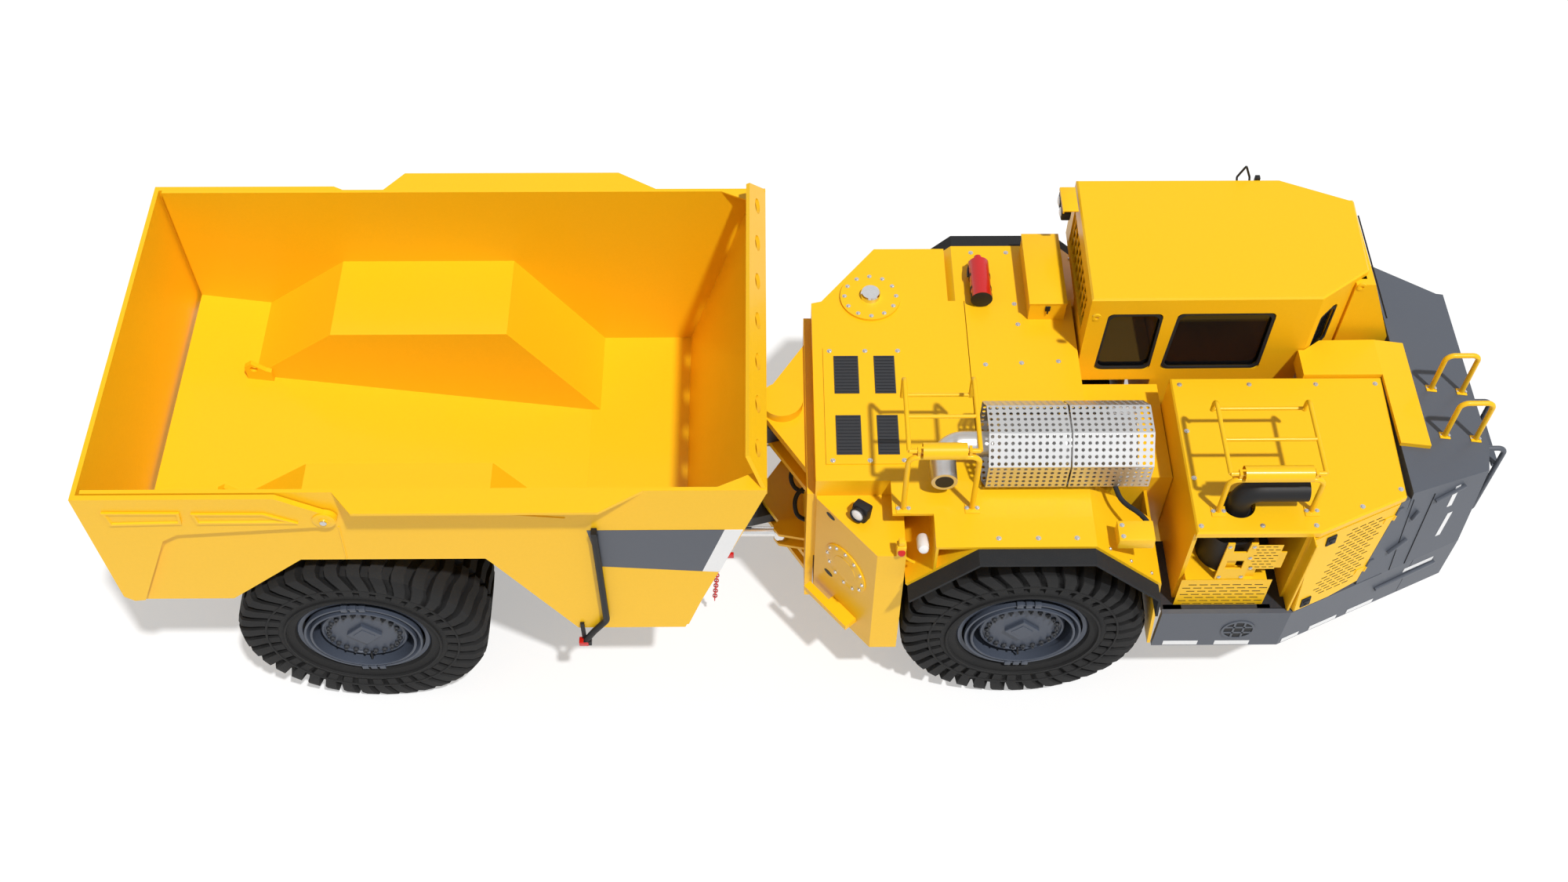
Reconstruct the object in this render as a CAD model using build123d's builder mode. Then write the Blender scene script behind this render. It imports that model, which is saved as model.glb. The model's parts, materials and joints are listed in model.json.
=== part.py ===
from build123d import *
import os
from math import acos, atan2, cos, hypot, radians, sin

# An underground articulated dump truck. Every length is in millimetres.
# While it is drawn, x is measured forward from the rear axle, y to the left and z up from the ground.
# save() then moves each piece so that the middle of the machine's length is at x = 0.

# Wheels and axles
WHEELBASE = 5100.0
TYRE_R = 950.0
TYRE_IN = 700.0            # inner face of a tyre, from the centre line
TYRE_OUT = 1450.0          # outer face of a tyre
SHOULDER_R = 865.0
SIDEWALL_R = 610.0
SEAT_R = 430.0             # rim seat that the tyre's bead sits on
RIM_FLANGE_R = 470.0
HUB_R = 300.0
HUB_BORE_R = 150.5
SPINDLE_R = 150.0
AXLE_TUBE_R = 170.0
AXLE_COLLAR_R = 200.0      # collar where the axle passes through a frame rail
FLANGE_R = 240.0           # brake housing at the end of the axle tube
FIT = 0.3                  # clearance of a seated piece
GAP = 6.0                  # open joint between neighbouring panels

# Rear frame and articulation
PIN_X = 3240.0             # steering pin
PIN_R = 70.0
REAR_RAIL_Y = (240.0, 320.0)
RAIL_TOP_REAR = 1385.0
RAIL_TOP_FRONT = 1060.0
NECK_HALF = 220.0
NECK_FRONT = 3000.0
TONGUE_R = 150.0
UPPER_TONGUE = (1775.0, 1945.0)
LOWER_TONGUE = (655.0, 765.0)
TIP_X, TIP_Z = -1000.0, 1300.0         # hinge of the dump box
TIP_PIN_R = 60.0
EAR_R = 115.0

# Dump box
BOX_HALF = 1423.0
BOX_WALL = 30.0
RIM_Z = 2940.0
BOX_REAR = -1560.0
FLOOR = ((-1560.0, 1740.0), (-1020.0, 1640.0), (1670.0, 1155.0), (2480.0, 1155.0))
HUMP = ((-980.0, 1620.0), (-300.0, 2115.0), (1060.0, 2115.0), (1690.0, 1155.0))
HUMP_IN = 620.0            # inner side of a wheel hump
HEAD_FOOT_X = 2480.0
HEAD_TOP_X = 3050.0
HEADBOARD_TOP = (3000.0, 3150.0)
HEADBOARD_EDGE = (3120.0, 2930.0)
HEADBOARD_TOP_HALF = 1280.0
SIDE_LOW_Z = 1085.0        # bottom of the side walls ahead of the wheels
WING_OUT = 1600.0

# Tailgate
GATE_PIN = (56.0, 2663.0)
GATE_PIN_R = 45.0
GATE_REAR = -1625.0
GATE_ARM_IN = BOX_HALF + 7
GATE_ARM_OUT = GATE_ARM_IN + 40

# Cylinders: lower eye, upper eye in (x, z) for the hoists and (x, y) for the steering
HOIST_Y = 800.0
HOIST_FOOT = (1720.0, 450.0)
HOIST_EYE = (1080.0, 1700.0)
HOIST_R = (100.0, 80.0, 60.0)
HOIST_PIN_R = 60.0
STEER_Z = 920.0
STEER_FOOT = (2000.0, 430.0)
STEER_EYE = (3240.0, 450.0)
STEER_BARREL_R = 65.0
STEER_ROD_R = 40.0

# Front unit
BULKHEAD = (3420.0, 3480.0)
BULKHEAD_HALF = 850.0
FRAME_LOW, FRAME_TOP = 680.0, 1220.0
FRONT_RAIL_Y = (420.0, 500.0)
FRAME_FRONT = 8150.0
DECK_Z = 2240.0
DECK_HALF = 865.0
SEAM_X = 4690.0            # joint between the tank module and the middle module
BLOCK_FRONT = 4130.0
BLOCK_OUT = 1400.0
BLOCK_TOP = 2050.0
BLOCK_LOW = 710.0
FENDER_OUT = 1449.0
FENDER_T = 25.0
ARCH = ((4140.0, 1740.0), (4625.0, 2240.0), (5486.0, 2240.0), (6040.0, 1720.0), (6110.0, 840.0))
LIP_END_Z = 1480.0
LIP_OUT = 1585.0
LIP_T = 22.0
SHIELD_X = (4710.0, 5900.0)
SHIELD_AXIS = (-680.0, 2440.0)
SHIELD_FLAT = 302.0        # half the width across flats
SHIELD_T = 6.0
EXHAUST_R = 95.0

# Cab
CAB_PLAN = ((5560.0, 330.0), (7300.0, 340.0), (7700.0, 620.0), (7730.0, 1340.0), (7180.0, 1575.0), (5575.0, 1575.0))
CAB_REAR_FOOT = 6160.0     # rear of the foot well, ahead of the wheel arch
CAB_SHELF_Z = 1900.0
CAB_ARCH_Z = 2262.0        # underside of the cab over the left fender
CAB_ARCH_Y = 862.0
CAB_FLOOR_Z = 1240.0
CAB_EAVES_Z = 2810.0
CAB_ROOF_Z = 2870.0
CAB_WALL = 60.0
GLASS_T = 12.0
DOOR_X = (6260.0, 7080.0)
DOOR_Z = (1330.0, 2740.0)
DOOR_AXIS = (DOOR_X[1] + 3, 1586.0)
HINGE_R = 11.0
HINGE_H = 120.0
HINGE_Z = (1480.0, 2500.0)

# Hood, bay and nose
HOOD_REAR = 6220.0
HOOD_IN = 80.0
HOOD_OUT = 1340.0
HOOD_BEND_X = 7120.0
HOOD_FRONT = 7850.0
HOOD_T = 60.0
SKIRT_Y = 1450.0
SKIRT_REAR = 6125.0
SKIRT_LOW = 800.0
SKIRT_TOP = 1285.0
SIDE_TURN = 24.4           # degrees between the slanted front side and the machine's axis
SIDE_LEAN = 105.0 / 955.0  # inward lean of that side per unit of height
SKIRT_T = 40.0
NOSE_TOP = 2090.0          # top of the nose at its front
NOSE_FRONT = 8600.0
LADDER_OUT = 8775.0
RAIL_TUBE_R = 20.0

# Handrails: post stations, their side position, deck height, loop height, frame depth
HANDRAILS = (
    {"name": "rear", "posts": (4110.0, 4610.0), "y": -1110.0, "deck": 2240.0, "loop": 640.0, "depth": 690.0, "leg": 250.0},
    {"name": "front", "posts": (6400.0, 7080.0), "y": -1150.0, "deck": 2240.0, "loop": 400.0, "depth": 690.0, "leg": 140.0},
)

FRONT_END = LADDER_OUT + RAIL_TUBE_R
X_MID = (FRONT_END + GATE_REAR) / 2
SIDES = (("right", -1), ("left", 1))
AXLES = (("rear", 0.0, REAR_RAIL_Y), ("front", WHEELBASE, FRONT_RAIL_Y))

os.makedirs("parts", exist_ok=True)


def save(name, built):
    """Centre one finished piece on the machine's length and write it out."""
    built.part = built.part.moved(Location((-X_MID, 0, 0)))
    built.part.label = name
    export_step(built.part, "parts/" + name + ".step")


def across(outline, y0, y1, mode=Mode.ADD):
    """Extrude an (x, z) outline between two side positions."""
    with BuildSketch(Plane((0, max(y0, y1), 0), x_dir=(1, 0, 0), z_dir=(0, -1, 0))) as face:
        with BuildLine():
            Polyline(*outline, close=True)
        make_face()
    extrude(face.sketch, amount=abs(y1 - y0), mode=mode)


def flat(outline, z0, z1, mode=Mode.ADD):
    """Extrude an (x, y) outline between two heights."""
    with BuildSketch(Plane.XY.offset(z0)) as face:
        with BuildLine():
            Polyline(*outline, close=True)
        make_face()
    extrude(face.sketch, amount=z1 - z0, mode=mode)


def block(x0, x1, y0, y1, z0, z1, mode=Mode.ADD):
    """Add a plain block given by its two corners."""
    with Locations(((x0 + x1) / 2, (y0 + y1) / 2, (z0 + z1) / 2)):
        Box(abs(x1 - x0), abs(y1 - y0), z1 - z0, mode=mode)


def bar(start, end, radius, mode=Mode.ADD):
    """Add a round bar between two points."""
    way = Vector(*end) - Vector(*start)
    with BuildSketch(Plane(start, z_dir=way)) as face:
        Circle(radius)
    extrude(face.sketch, amount=way.length, mode=mode)


def tube(points, bend, radius):
    """Add a round tube along a path with one bend radius."""
    with BuildLine() as path:
        FilletPolyline(*points, radius=bend)
    with BuildSketch(Plane(path.line @ 0, z_dir=path.line % 0)) as face:
        Circle(radius)
    sweep(face.sketch, path=path.line)


def turned(outline, x, y_sign, mode=Mode.ADD):
    """Revolve a (radius, y) outline about an axle at station x."""
    with BuildSketch(Plane((x, 0, TYRE_R), x_dir=(1, 0, 0), z_dir=(0, 0, 1))) as face:
        with BuildLine():
            Polyline(*[(r, y_sign * y) for r, y in outline], close=True)
        make_face()
    revolve(face.sketch, axis=Axis((x, 0, TYRE_R), (0, 1, 0)), mode=mode)


def pin_plate(root_x, half, radius, z0, z1):
    """Add a plate that narrows from a straight root to a round end at the steering pin."""
    root = (root_x - PIN_X, half)
    reach = hypot(*root)
    angle = atan2(root[1], root[0])
    side = 1 if root_x > PIN_X else -1
    touch = angle + side * acos(radius / reach)
    edge = (PIN_X + radius * cos(touch), radius * sin(touch))
    flat([(root_x, half), edge, (edge[0], -edge[1]), (root_x, -half)], z0, z1)
    bar((PIN_X, 0, z0), (PIN_X, 0, z1), radius)


def lower(outline, drop):
    """Shift an outline down."""
    return [(x, z - drop) for x, z in outline]


# ---- Wheels ---------------------------------------------------------------------------------

TYRE_OUTLINE = (
    (SEAT_R + FIT, TYRE_IN + 60), (RIM_FLANGE_R, TYRE_IN + 40), (SIDEWALL_R, TYRE_IN), (SHOULDER_R, TYRE_IN),
    (TYRE_R - 12, TYRE_IN + 74), (TYRE_R, TYRE_IN + 130), (TYRE_R, TYRE_OUT - 130), (TYRE_R - 12, TYRE_OUT - 74),
    (SHOULDER_R, TYRE_OUT), (SIDEWALL_R, TYRE_OUT), (RIM_FLANGE_R, TYRE_OUT - 40), (SEAT_R + FIT, TYRE_OUT - 60),
)
RIM_OUTLINE = (
    (HUB_BORE_R, TYRE_IN + 20), (HUB_R, TYRE_IN + 20), (HUB_R, 1150), (395, 1150), (395, 765), (SEAT_R, 765),
    (SEAT_R, TYRE_OUT - 59), (RIM_FLANGE_R - 20, TYRE_OUT - 48), (RIM_FLANGE_R - 20, TYRE_OUT - 15),
    (RIM_FLANGE_R - 36, TYRE_OUT - 15), (400, TYRE_OUT - 60), (385, 1250), (350, 1215), (HUB_R, 1205),
    (HUB_R, 1290), (270, 1320), (240, 1330), (240, 1375), (0, 1375), (0, 1190), (HUB_BORE_R, 1190),
)
for axle, station, rails in AXLES:
    for side, sign in SIDES:
        with BuildPart() as tyre:
            turned(TYRE_OUTLINE, station, sign)
        save("tyre_" + axle + "_" + side, tyre)

        with BuildPart() as rim:
            turned(RIM_OUTLINE, station, sign)
        save("rim_" + axle + "_" + side, rim)

# ---- Axles ----------------------------------------------------------------------------------

for axle, station, rails in AXLES:
    with BuildPart() as axle_piece:
        with Locations((station, 0, TYRE_R)):
            Sphere(310)
        for side, sign in SIDES:
            turned(
                (
                    (0, 0), (AXLE_TUBE_R, 0), (AXLE_TUBE_R, rails[0]), (AXLE_COLLAR_R, rails[0]),
                    (AXLE_COLLAR_R, rails[1]), (AXLE_TUBE_R, rails[1]), (AXLE_TUBE_R, 590), (FLANGE_R, 610),
                    (FLANGE_R, TYRE_IN + 15), (SPINDLE_R, TYRE_IN + 15), (SPINDLE_R, 1180), (0, 1180),
                ),
                station,
                sign,
            )
            if rails[0] < 310:
                turned(
                    ((AXLE_COLLAR_R, rails[0] - 1), (320, rails[0] - 1), (320, 400), (AXLE_COLLAR_R, 400)),
                    station,
                    sign,
                    Mode.SUBTRACT,
                )
    save(axle + "_axle", axle_piece)

# ---- Rear frame -----------------------------------------------------------------------------

RAIL_OUTLINE = (
    (-1115, 1220), (-1115, 1330), (-1060, RAIL_TOP_REAR), (-880, RAIL_TOP_REAR), (1670, RAIL_TOP_FRONT),
    (2545, RAIL_TOP_FRONT), (2545, 600), (1900, 560), (1850, 350), (1590, 350), (1480, 560), (700, 690),
    (-700, 690), (-980, 1000),
)
NECK_OUTLINE = (
    (2300, 620), (2300, RAIL_TOP_FRONT), (2550, RAIL_TOP_FRONT), (2865, UPPER_TONGUE[1]),
    (NECK_FRONT, UPPER_TONGUE[1]), (NECK_FRONT, LOWER_TONGUE[0]), (2545, 600),
)
TOW_X = -1180.0            # rear tow eye
TOW_Z = (1120.0, 1170.0)
TOW_HALF = 90.0
TOW_BORE_R = 32.5
with BuildPart() as rear_frame:
    for side, sign in SIDES:
        across(RAIL_OUTLINE, sign * REAR_RAIL_Y[0], sign * REAR_RAIL_Y[1])
        block(1750, 1950, sign * REAR_RAIL_Y[0], sign * REAR_RAIL_Y[1], RAIL_TOP_FRONT, FLOOR[2][1] - BOX_WALL - FIT)
        with BuildSketch(Plane.XY.offset(STEER_Z - 100)) as lug:
            with BuildLine():
                Polyline(
                    (STEER_FOOT[0] - 90, sign * REAR_RAIL_Y[1]), (STEER_FOOT[0] - 60, sign * (STEER_FOOT[1] + 60)),
                    (STEER_FOOT[0] + 60, sign * (STEER_FOOT[1] + 60)), (STEER_FOOT[0] + 90, sign * REAR_RAIL_Y[1]),
                    close=True,
                )
            make_face()
        extrude(lug.sketch, amount=30)
        extrude(lug.sketch.moved(Location((0, 0, 170))), amount=30)
        bar(
            (STEER_FOOT[0], sign * STEER_FOOT[1], STEER_Z - 100), (STEER_FOOT[0], sign * STEER_FOOT[1], STEER_Z + 100),
            34.5,
        )
    across(NECK_OUTLINE, -NECK_HALF, NECK_HALF)
    for x0, x1, z0, z1 in ((2300, 2360, 620, 1040), (650, 720, 760, 1100), (1440, 1520, 640, 1000), (-900, -820, 1100, 1330)):
        block(x0, x1, -REAR_RAIL_Y[1], REAR_RAIL_Y[1], z0, z1)
    bar((HOIST_FOOT[0], -HOIST_Y - 70, HOIST_FOOT[1]), (HOIST_FOOT[0], HOIST_Y + 70, HOIST_FOOT[1]), HOIST_PIN_R)
    block(TOW_X, -810, -TOW_HALF, TOW_HALF, *TOW_Z)
    bar((TOW_X, 0, TOW_Z[0]), (TOW_X, 0, TOW_Z[1]), TOW_HALF)
    bar((TOW_X, 0, TOW_Z[0] - 1), (TOW_X, 0, TOW_Z[1] + 1), TOW_BORE_R, Mode.SUBTRACT)
    for z0, z1 in (UPPER_TONGUE, LOWER_TONGUE):
        pin_plate(NECK_FRONT, NECK_HALF, TONGUE_R, z0, z1)
        bar((PIN_X, 0, z0), (PIN_X, 0, z1), PIN_R + 0.5, Mode.SUBTRACT)
    for side, sign in SIDES:
        y = sign * (REAR_RAIL_Y[0] + REAR_RAIL_Y[1]) / 2
        bar((0, y - 60, TYRE_R), (0, y + 60, TYRE_R), AXLE_COLLAR_R + FIT, Mode.SUBTRACT)
        bar((TIP_X, y - 60, TIP_Z), (TIP_X, y + 60, TIP_Z), TIP_PIN_R + 0.5, Mode.SUBTRACT)
save("rear_frame", rear_frame)

# ---- Dump box -------------------------------------------------------------------------------


def rim_x(z):
    """Front wall station at a height, on its outer face."""
    share = (z - FLOOR[3][1]) / (RIM_Z - FLOOR[3][1])
    return HEAD_FOOT_X + share * (HEAD_TOP_X - HEAD_FOOT_X)


SIDE_OUTLINE = (
    (BOX_REAR, 1600), (-1500, 1550), (-850, 1550), (-240, 2085), (1090, 2085), (1670, SIDE_LOW_Z),
    (HEAD_FOOT_X + 10, SIDE_LOW_Z), (HEADBOARD_EDGE[0], HEADBOARD_EDGE[1] - 20), (HEADBOARD_EDGE[0], RIM_Z),
    (BOX_REAR, RIM_Z),
)
FLOOR_UNDER = lower(FLOOR, BOX_WALL)
HUMP_OUTER = ((-1010, 1636), (-310, 2145), (1078, 2145), (1740, 1155))
HUMP_UNDER = ((-940, 1594), (-245, 2085), (1045, 2085), (1680, 1125))
with BuildPart() as dump_box:
    for side, sign in SIDES:
        across(SIDE_OUTLINE, sign * (BOX_HALF - BOX_WALL), sign * BOX_HALF)
        across([*HUMP_OUTER, *reversed(HUMP_UNDER)], sign * (HUMP_IN + BOX_WALL), sign * (BOX_HALF - BOX_WALL))
        across([*HUMP_OUTER, (1740, 1125), (1600, 1130), (-940, 1594)], sign * HUMP_IN, sign * (HUMP_IN + BOX_WALL))
        across(
            [(-980, 1633), (-1020, 1640), (BOX_REAR, 1740), (BOX_REAR, 1710), (-1020, 1610), (-940, 1594)],
            sign * HUMP_IN,
            sign * (BOX_HALF - BOX_WALL),
        )
        across([(1700, 1155), (2480, 1155), (2480, 1125), (1680, 1125)], sign * HUMP_IN, sign * (BOX_HALF - BOX_WALL))
        flat(
            [
                (150, sign * (BOX_HALF - 1)), (300, sign * WING_OUT), (1970, sign * WING_OUT),
                (2270, sign * (BOX_HALF - 1)),
            ],
            RIM_Z - 25,
            RIM_Z,
        )
        across(
            [(TIP_X - EAR_R, TIP_Z), (TIP_X - EAR_R, 1620), (-800, 1580), (TIP_X + EAR_R, TIP_Z)],
            sign * (REAR_RAIL_Y[1] + 8),
            sign * (REAR_RAIL_Y[1] + 48),
        )
        bar(
            (TIP_X, sign * (REAR_RAIL_Y[1] + 8), TIP_Z), (TIP_X, sign * (REAR_RAIL_Y[1] + 48), TIP_Z), EAR_R,
        )
        for y in (HOIST_Y - 75, HOIST_Y + 75):
            across(
                [
                    (HOIST_EYE[0] - 80, HOIST_EYE[1]), (HOIST_EYE[0] - 60, 2100), (1085, 2100), (1280, 1795),
                    (HOIST_EYE[0] + 60, HOIST_EYE[1] - 55), (HOIST_EYE[0], HOIST_EYE[1] - 80),
                ],
                sign * (y - 12),
                sign * (y + 12),
            )
        across(
            [(-1060, 1640), (-1060, 1790), (-1000, 1830), (-900, 1740), (-860, 1720), (-860, 1600)],
            sign * (HUMP_IN - 40),
            sign * HUMP_IN,
        )
        bar(
            (GATE_PIN[0], sign * (BOX_HALF - 5), GATE_PIN[1]), (GATE_PIN[0], sign * (GATE_ARM_OUT + 14), GATE_PIN[1]),
            GATE_PIN_R,
        )
        bar((-990, sign * (HUMP_IN - 45), 1765), (-990, sign * (HUMP_IN + 5), 1765), 32, Mode.SUBTRACT)
        flat(
            [(2780, sign * (BOX_HALF - BOX_WALL)), (3100, sign * (BOX_HALF - 180)), (3100, sign * (BOX_HALF - BOX_WALL))],
            RIM_Z - 12,
            RIM_Z,
        )
    across([*FLOOR, *reversed(FLOOR_UNDER)], -HUMP_IN - 1, HUMP_IN + 1)
    across(
        [(HEAD_FOOT_X, 1125), (HEAD_FOOT_X, 1155), (rim_x(RIM_Z) - 12, RIM_Z), (rim_x(RIM_Z) + 26, RIM_Z), (2518, 1125)],
        -BOX_HALF + 1,
        BOX_HALF - 1,
    )
    with BuildSketch(Plane((HEADBOARD_EDGE[0], 0, HEADBOARD_EDGE[1]), x_dir=(0, 1, 0),
                           z_dir=(HEADBOARD_TOP[1] - HEADBOARD_EDGE[1], 0, HEADBOARD_EDGE[0] - HEADBOARD_TOP[0]))) as strip:
        rise = hypot(HEADBOARD_TOP[1] - HEADBOARD_EDGE[1], HEADBOARD_EDGE[0] - HEADBOARD_TOP[0])
        with BuildLine():
            Polyline((-BOX_HALF, 0), (BOX_HALF, 0), (HEADBOARD_TOP_HALF, rise), (-HEADBOARD_TOP_HALF, rise), close=True)
        make_face()
        with GridLocations(380, 1, 7, 1):
            with Locations((0, rise * 0.5)):
                Ellipse(75, 38, mode=Mode.SUBTRACT)
    extrude(strip.sketch, amount=-BOX_WALL)
    block(rim_x(RIM_Z), HEADBOARD_EDGE[0] + 1, -BOX_HALF + 1, BOX_HALF - 1, RIM_Z - 45, RIM_Z - 15)
    bar((TIP_X, -REAR_RAIL_Y[1] - 70, TIP_Z), (TIP_X, REAR_RAIL_Y[1] + 70, TIP_Z), TIP_PIN_R)
save("dump_box", dump_box)

# ---- Tailgate -------------------------------------------------------------------------------

GATE_ARM = (
    (56, 2745), (-240, 2930), (GATE_REAR, 2930), (GATE_REAR, 1660), (-1560, 1600), (-1480, 1610),
    (-1130, 2410), (-1010, 2490), (56, 2585),
)
with BuildPart() as tailgate:
    for side, sign in SIDES:
        across(GATE_ARM, sign * GATE_ARM_IN, sign * GATE_ARM_OUT)
        bar((GATE_PIN[0], sign * GATE_ARM_IN, GATE_PIN[1]), (GATE_PIN[0], sign * GATE_ARM_OUT, GATE_PIN[1]), 82)
        bar(
            (GATE_PIN[0], sign * (GATE_ARM_IN - 2), GATE_PIN[1]), (GATE_PIN[0], sign * (GATE_ARM_OUT + 2), GATE_PIN[1]),
            GATE_PIN_R + 0.5, Mode.SUBTRACT,
        )
    block(GATE_REAR, BOX_REAR - 30, -GATE_ARM_IN - 1, GATE_ARM_IN + 1, 1660, 2930)
save("tailgate", tailgate)

with BuildPart() as side_tube:
    y = -BOX_HALF - 32
    tube([(1900, y, 2440), (1900, y, 1250), (1790, y, 1080), (1725, y, 960)], 90, 25)
    block(1700, 1760, y - 25, y + 25, 905, 960)
    block(1880, 1920, y - 25, -BOX_HALF, 2440, 2480)
    block(1690, 1720, y + 10, -BOX_HALF, 905, 1170)
save("side_tube", side_tube)

# ---- Hoist and steering cylinders -----------------------------------------------------------

HOIST_WAY = Vector(HOIST_EYE[0] - HOIST_FOOT[0], 0, HOIST_EYE[1] - HOIST_FOOT[1])
HOIST_LENGTH = HOIST_WAY.length
STEER_LENGTH = hypot(STEER_EYE[0] - STEER_FOOT[0], STEER_EYE[1] - STEER_FOOT[1])


def ring(centre, along, half, outer, inner):
    """Add an eye of a given half width around a pin."""
    middle = Vector(*centre)
    step = Vector(*along) * half
    bar(tuple(middle - step), tuple(middle + step), outer)
    bar(tuple(middle - step * 1.1), tuple(middle + step * 1.1), inner, Mode.SUBTRACT)


def round_run(foot, way, start, end, outer, bore=0.0, bore_start=0.0):
    """Add a round length along a cylinder's axis, bored from one point to its open end."""
    unit = way.normalized()
    origin = Vector(*foot)
    bar(tuple(origin + unit * start), tuple(origin + unit * end), outer)
    if bore:
        bar(tuple(origin + unit * bore_start), tuple(origin + unit * (end + 1)), bore, Mode.SUBTRACT)


for side, sign in SIDES:
    foot = (HOIST_FOOT[0], sign * HOIST_Y, HOIST_FOOT[1])
    eye = (HOIST_EYE[0], sign * HOIST_Y, HOIST_EYE[1])
    with BuildPart() as hoist_barrel:
        round_run(foot, HOIST_WAY, 60, HOIST_LENGTH - 115, HOIST_R[0], HOIST_R[1] + 0.5, 125)
        ring(foot, (0, 1, 0), 58, 98, HOIST_PIN_R + 0.5)
    save("hoist_barrel_" + side, hoist_barrel)

    with BuildPart() as hoist_stage:
        round_run(foot, HOIST_WAY, 130, HOIST_LENGTH - 105, HOIST_R[1], HOIST_R[2] + 0.5, 145)
    save("hoist_stage_" + side, hoist_stage)

    with BuildPart() as hoist_rod:
        round_run(foot, HOIST_WAY, 150, HOIST_LENGTH - 50, HOIST_R[2])
        ring(eye, (0, 1, 0), 50, 75, 42)
    save("hoist_rod_" + side, hoist_rod)

    steer_foot = (STEER_FOOT[0], sign * STEER_FOOT[1], STEER_Z)
    steer_eye = (STEER_EYE[0], sign * STEER_EYE[1], STEER_Z)
    steer_way = Vector(*steer_eye) - Vector(*steer_foot)
    with BuildPart() as steer_barrel:
        round_run(steer_foot, steer_way, 40, 760, STEER_BARREL_R, STEER_ROD_R + 0.5, 75)
        ring(steer_foot, (0, 0, 1), 64, 58, 35)
    save("steer_barrel_" + side, steer_barrel)

    with BuildPart() as steer_rod:
        round_run(steer_foot, steer_way, 375, STEER_LENGTH - 50, STEER_ROD_R)
        ring(steer_eye, (0, 0, 1), 48, 65, 35)
    save("steer_rod_" + side, steer_rod)

# ---- Front frame ----------------------------------------------------------------------------

with BuildPart() as front_frame:
    block(*BULKHEAD, -BULKHEAD_HALF, BULKHEAD_HALF, 600, BLOCK_TOP)
    for side, sign in SIDES:
        block(
            BULKHEAD[1], FRAME_FRONT, sign * FRONT_RAIL_Y[0], sign * FRONT_RAIL_Y[1], FRAME_LOW, FRAME_TOP,
        )
        y = sign * (FRONT_RAIL_Y[0] + FRONT_RAIL_Y[1]) / 2
        bar((WHEELBASE, y - 60, TYRE_R), (WHEELBASE, y + 60, TYRE_R), AXLE_COLLAR_R + FIT, Mode.SUBTRACT)
        for z0 in (STEER_Z - 85, STEER_Z + 55):
            flat(
                [
                    (BULKHEAD[0], sign * 370), (BULKHEAD[0], sign * 570), (3215, sign * 530), (3175, sign * 470),
                    (3175, sign * 430), (3215, sign * 400),
                ],
                z0,
                z0 + 30,
            )
    for x0, x1, z0, z1 in ((3600, 3660, 700, 1200), (4300, 4360, 700, 1000), (5850, 5910, 700, 1000),
                           (6250, 6310, 680, 760), (7560, 7620, 680, 760), (8090, FRAME_FRONT, FRAME_LOW, FRAME_TOP)):
        block(x0, x1, -FRONT_RAIL_Y[0], FRONT_RAIL_Y[0], z0, z1)
    for z0, z1 in ((1950, 2020), (1715, 1770), (770, 825), (595, 650)):
        pin_plate(BULKHEAD[0], 600, 170, z0, z1)
    bar((PIN_X, 0, 1715), (PIN_X, 0, 2085), PIN_R)
    bar((PIN_X, 0, 2020), (PIN_X, 0, 2100), 163)
    bar((PIN_X, 0, 600), (PIN_X, 0, 820), PIN_R)
save("front_frame", front_frame)

# ---- Tank module, right block and middle module ----------------------------------------------

with BuildPart() as tank_module:
    flat(
        [
            (BULKHEAD[1], -DECK_HALF), (BULKHEAD[1], DECK_HALF - 20), (3560, DECK_HALF), (4000, 1420),
            (BLOCK_FRONT, 1420), (BLOCK_FRONT, -DECK_HALF),
        ],
        FRAME_TOP,
        DECK_Z,
    )
    flat(
        [
            (BULKHEAD[1], 510), (BULKHEAD[1], DECK_HALF - 20), (3560, DECK_HALF), (3990, 1400), (BLOCK_FRONT, 1400),
            (BLOCK_FRONT, 510),
        ],
        BLOCK_LOW,
        FRAME_TOP,
    )
    block(BLOCK_FRONT, SEAM_X, -DECK_HALF, DECK_HALF, 1960, DECK_Z)
    block(BLOCK_FRONT, SEAM_X, -600, 600, FRAME_TOP, 1960)
    across([(BLOCK_FRONT, 1790), (BLOCK_FRONT, DECK_Z), (4565, DECK_Z)], DECK_HALF - 5, 1420)
    block(3560, 4180, -720, 380, DECK_Z, DECK_Z + 10)
    bar((3950, 900, DECK_Z), (3950, 900, DECK_Z + 22), 240)
    bar((3950, 900, DECK_Z + 22), (3950, 900, DECK_Z + 62), 72)
save("tank_module", tank_module)

with BuildPart() as right_block:
    flat(
        [
            (BULKHEAD[1] + 10, -DECK_HALF - FIT), (BULKHEAD[1] + 10, -890), (3920, -BLOCK_OUT), (BLOCK_FRONT, -BLOCK_OUT),
            (BLOCK_FRONT, -DECK_HALF - FIT),
        ],
        BLOCK_LOW,
        BLOCK_TOP,
    )
    block(BULKHEAD[1] + 10, BLOCK_FRONT, -DECK_HALF - 10, -FRONT_RAIL_Y[1] - FIT, BLOCK_LOW, FRAME_TOP - 4)
    face_way = Vector(3920 - BULKHEAD[1] - 10, -BLOCK_OUT + 890, 0).normalized()
    face_out = Vector(face_way.Y, -face_way.X, 0)
    start = Vector(BULKHEAD[1] + 10, -890, 0) + face_way * 230
    end = start + face_way * 270
    tip = start - face_way * 220
    hook = [start - face_out * 5, end - face_out * 5, end + face_out * 110, tip + face_out * 110]
    hook += [tip + face_out * 45, start + face_out * 45]
    flat([(p.X, p.Y) for p in hook], 880, 935)
save("right_block", right_block)

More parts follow.
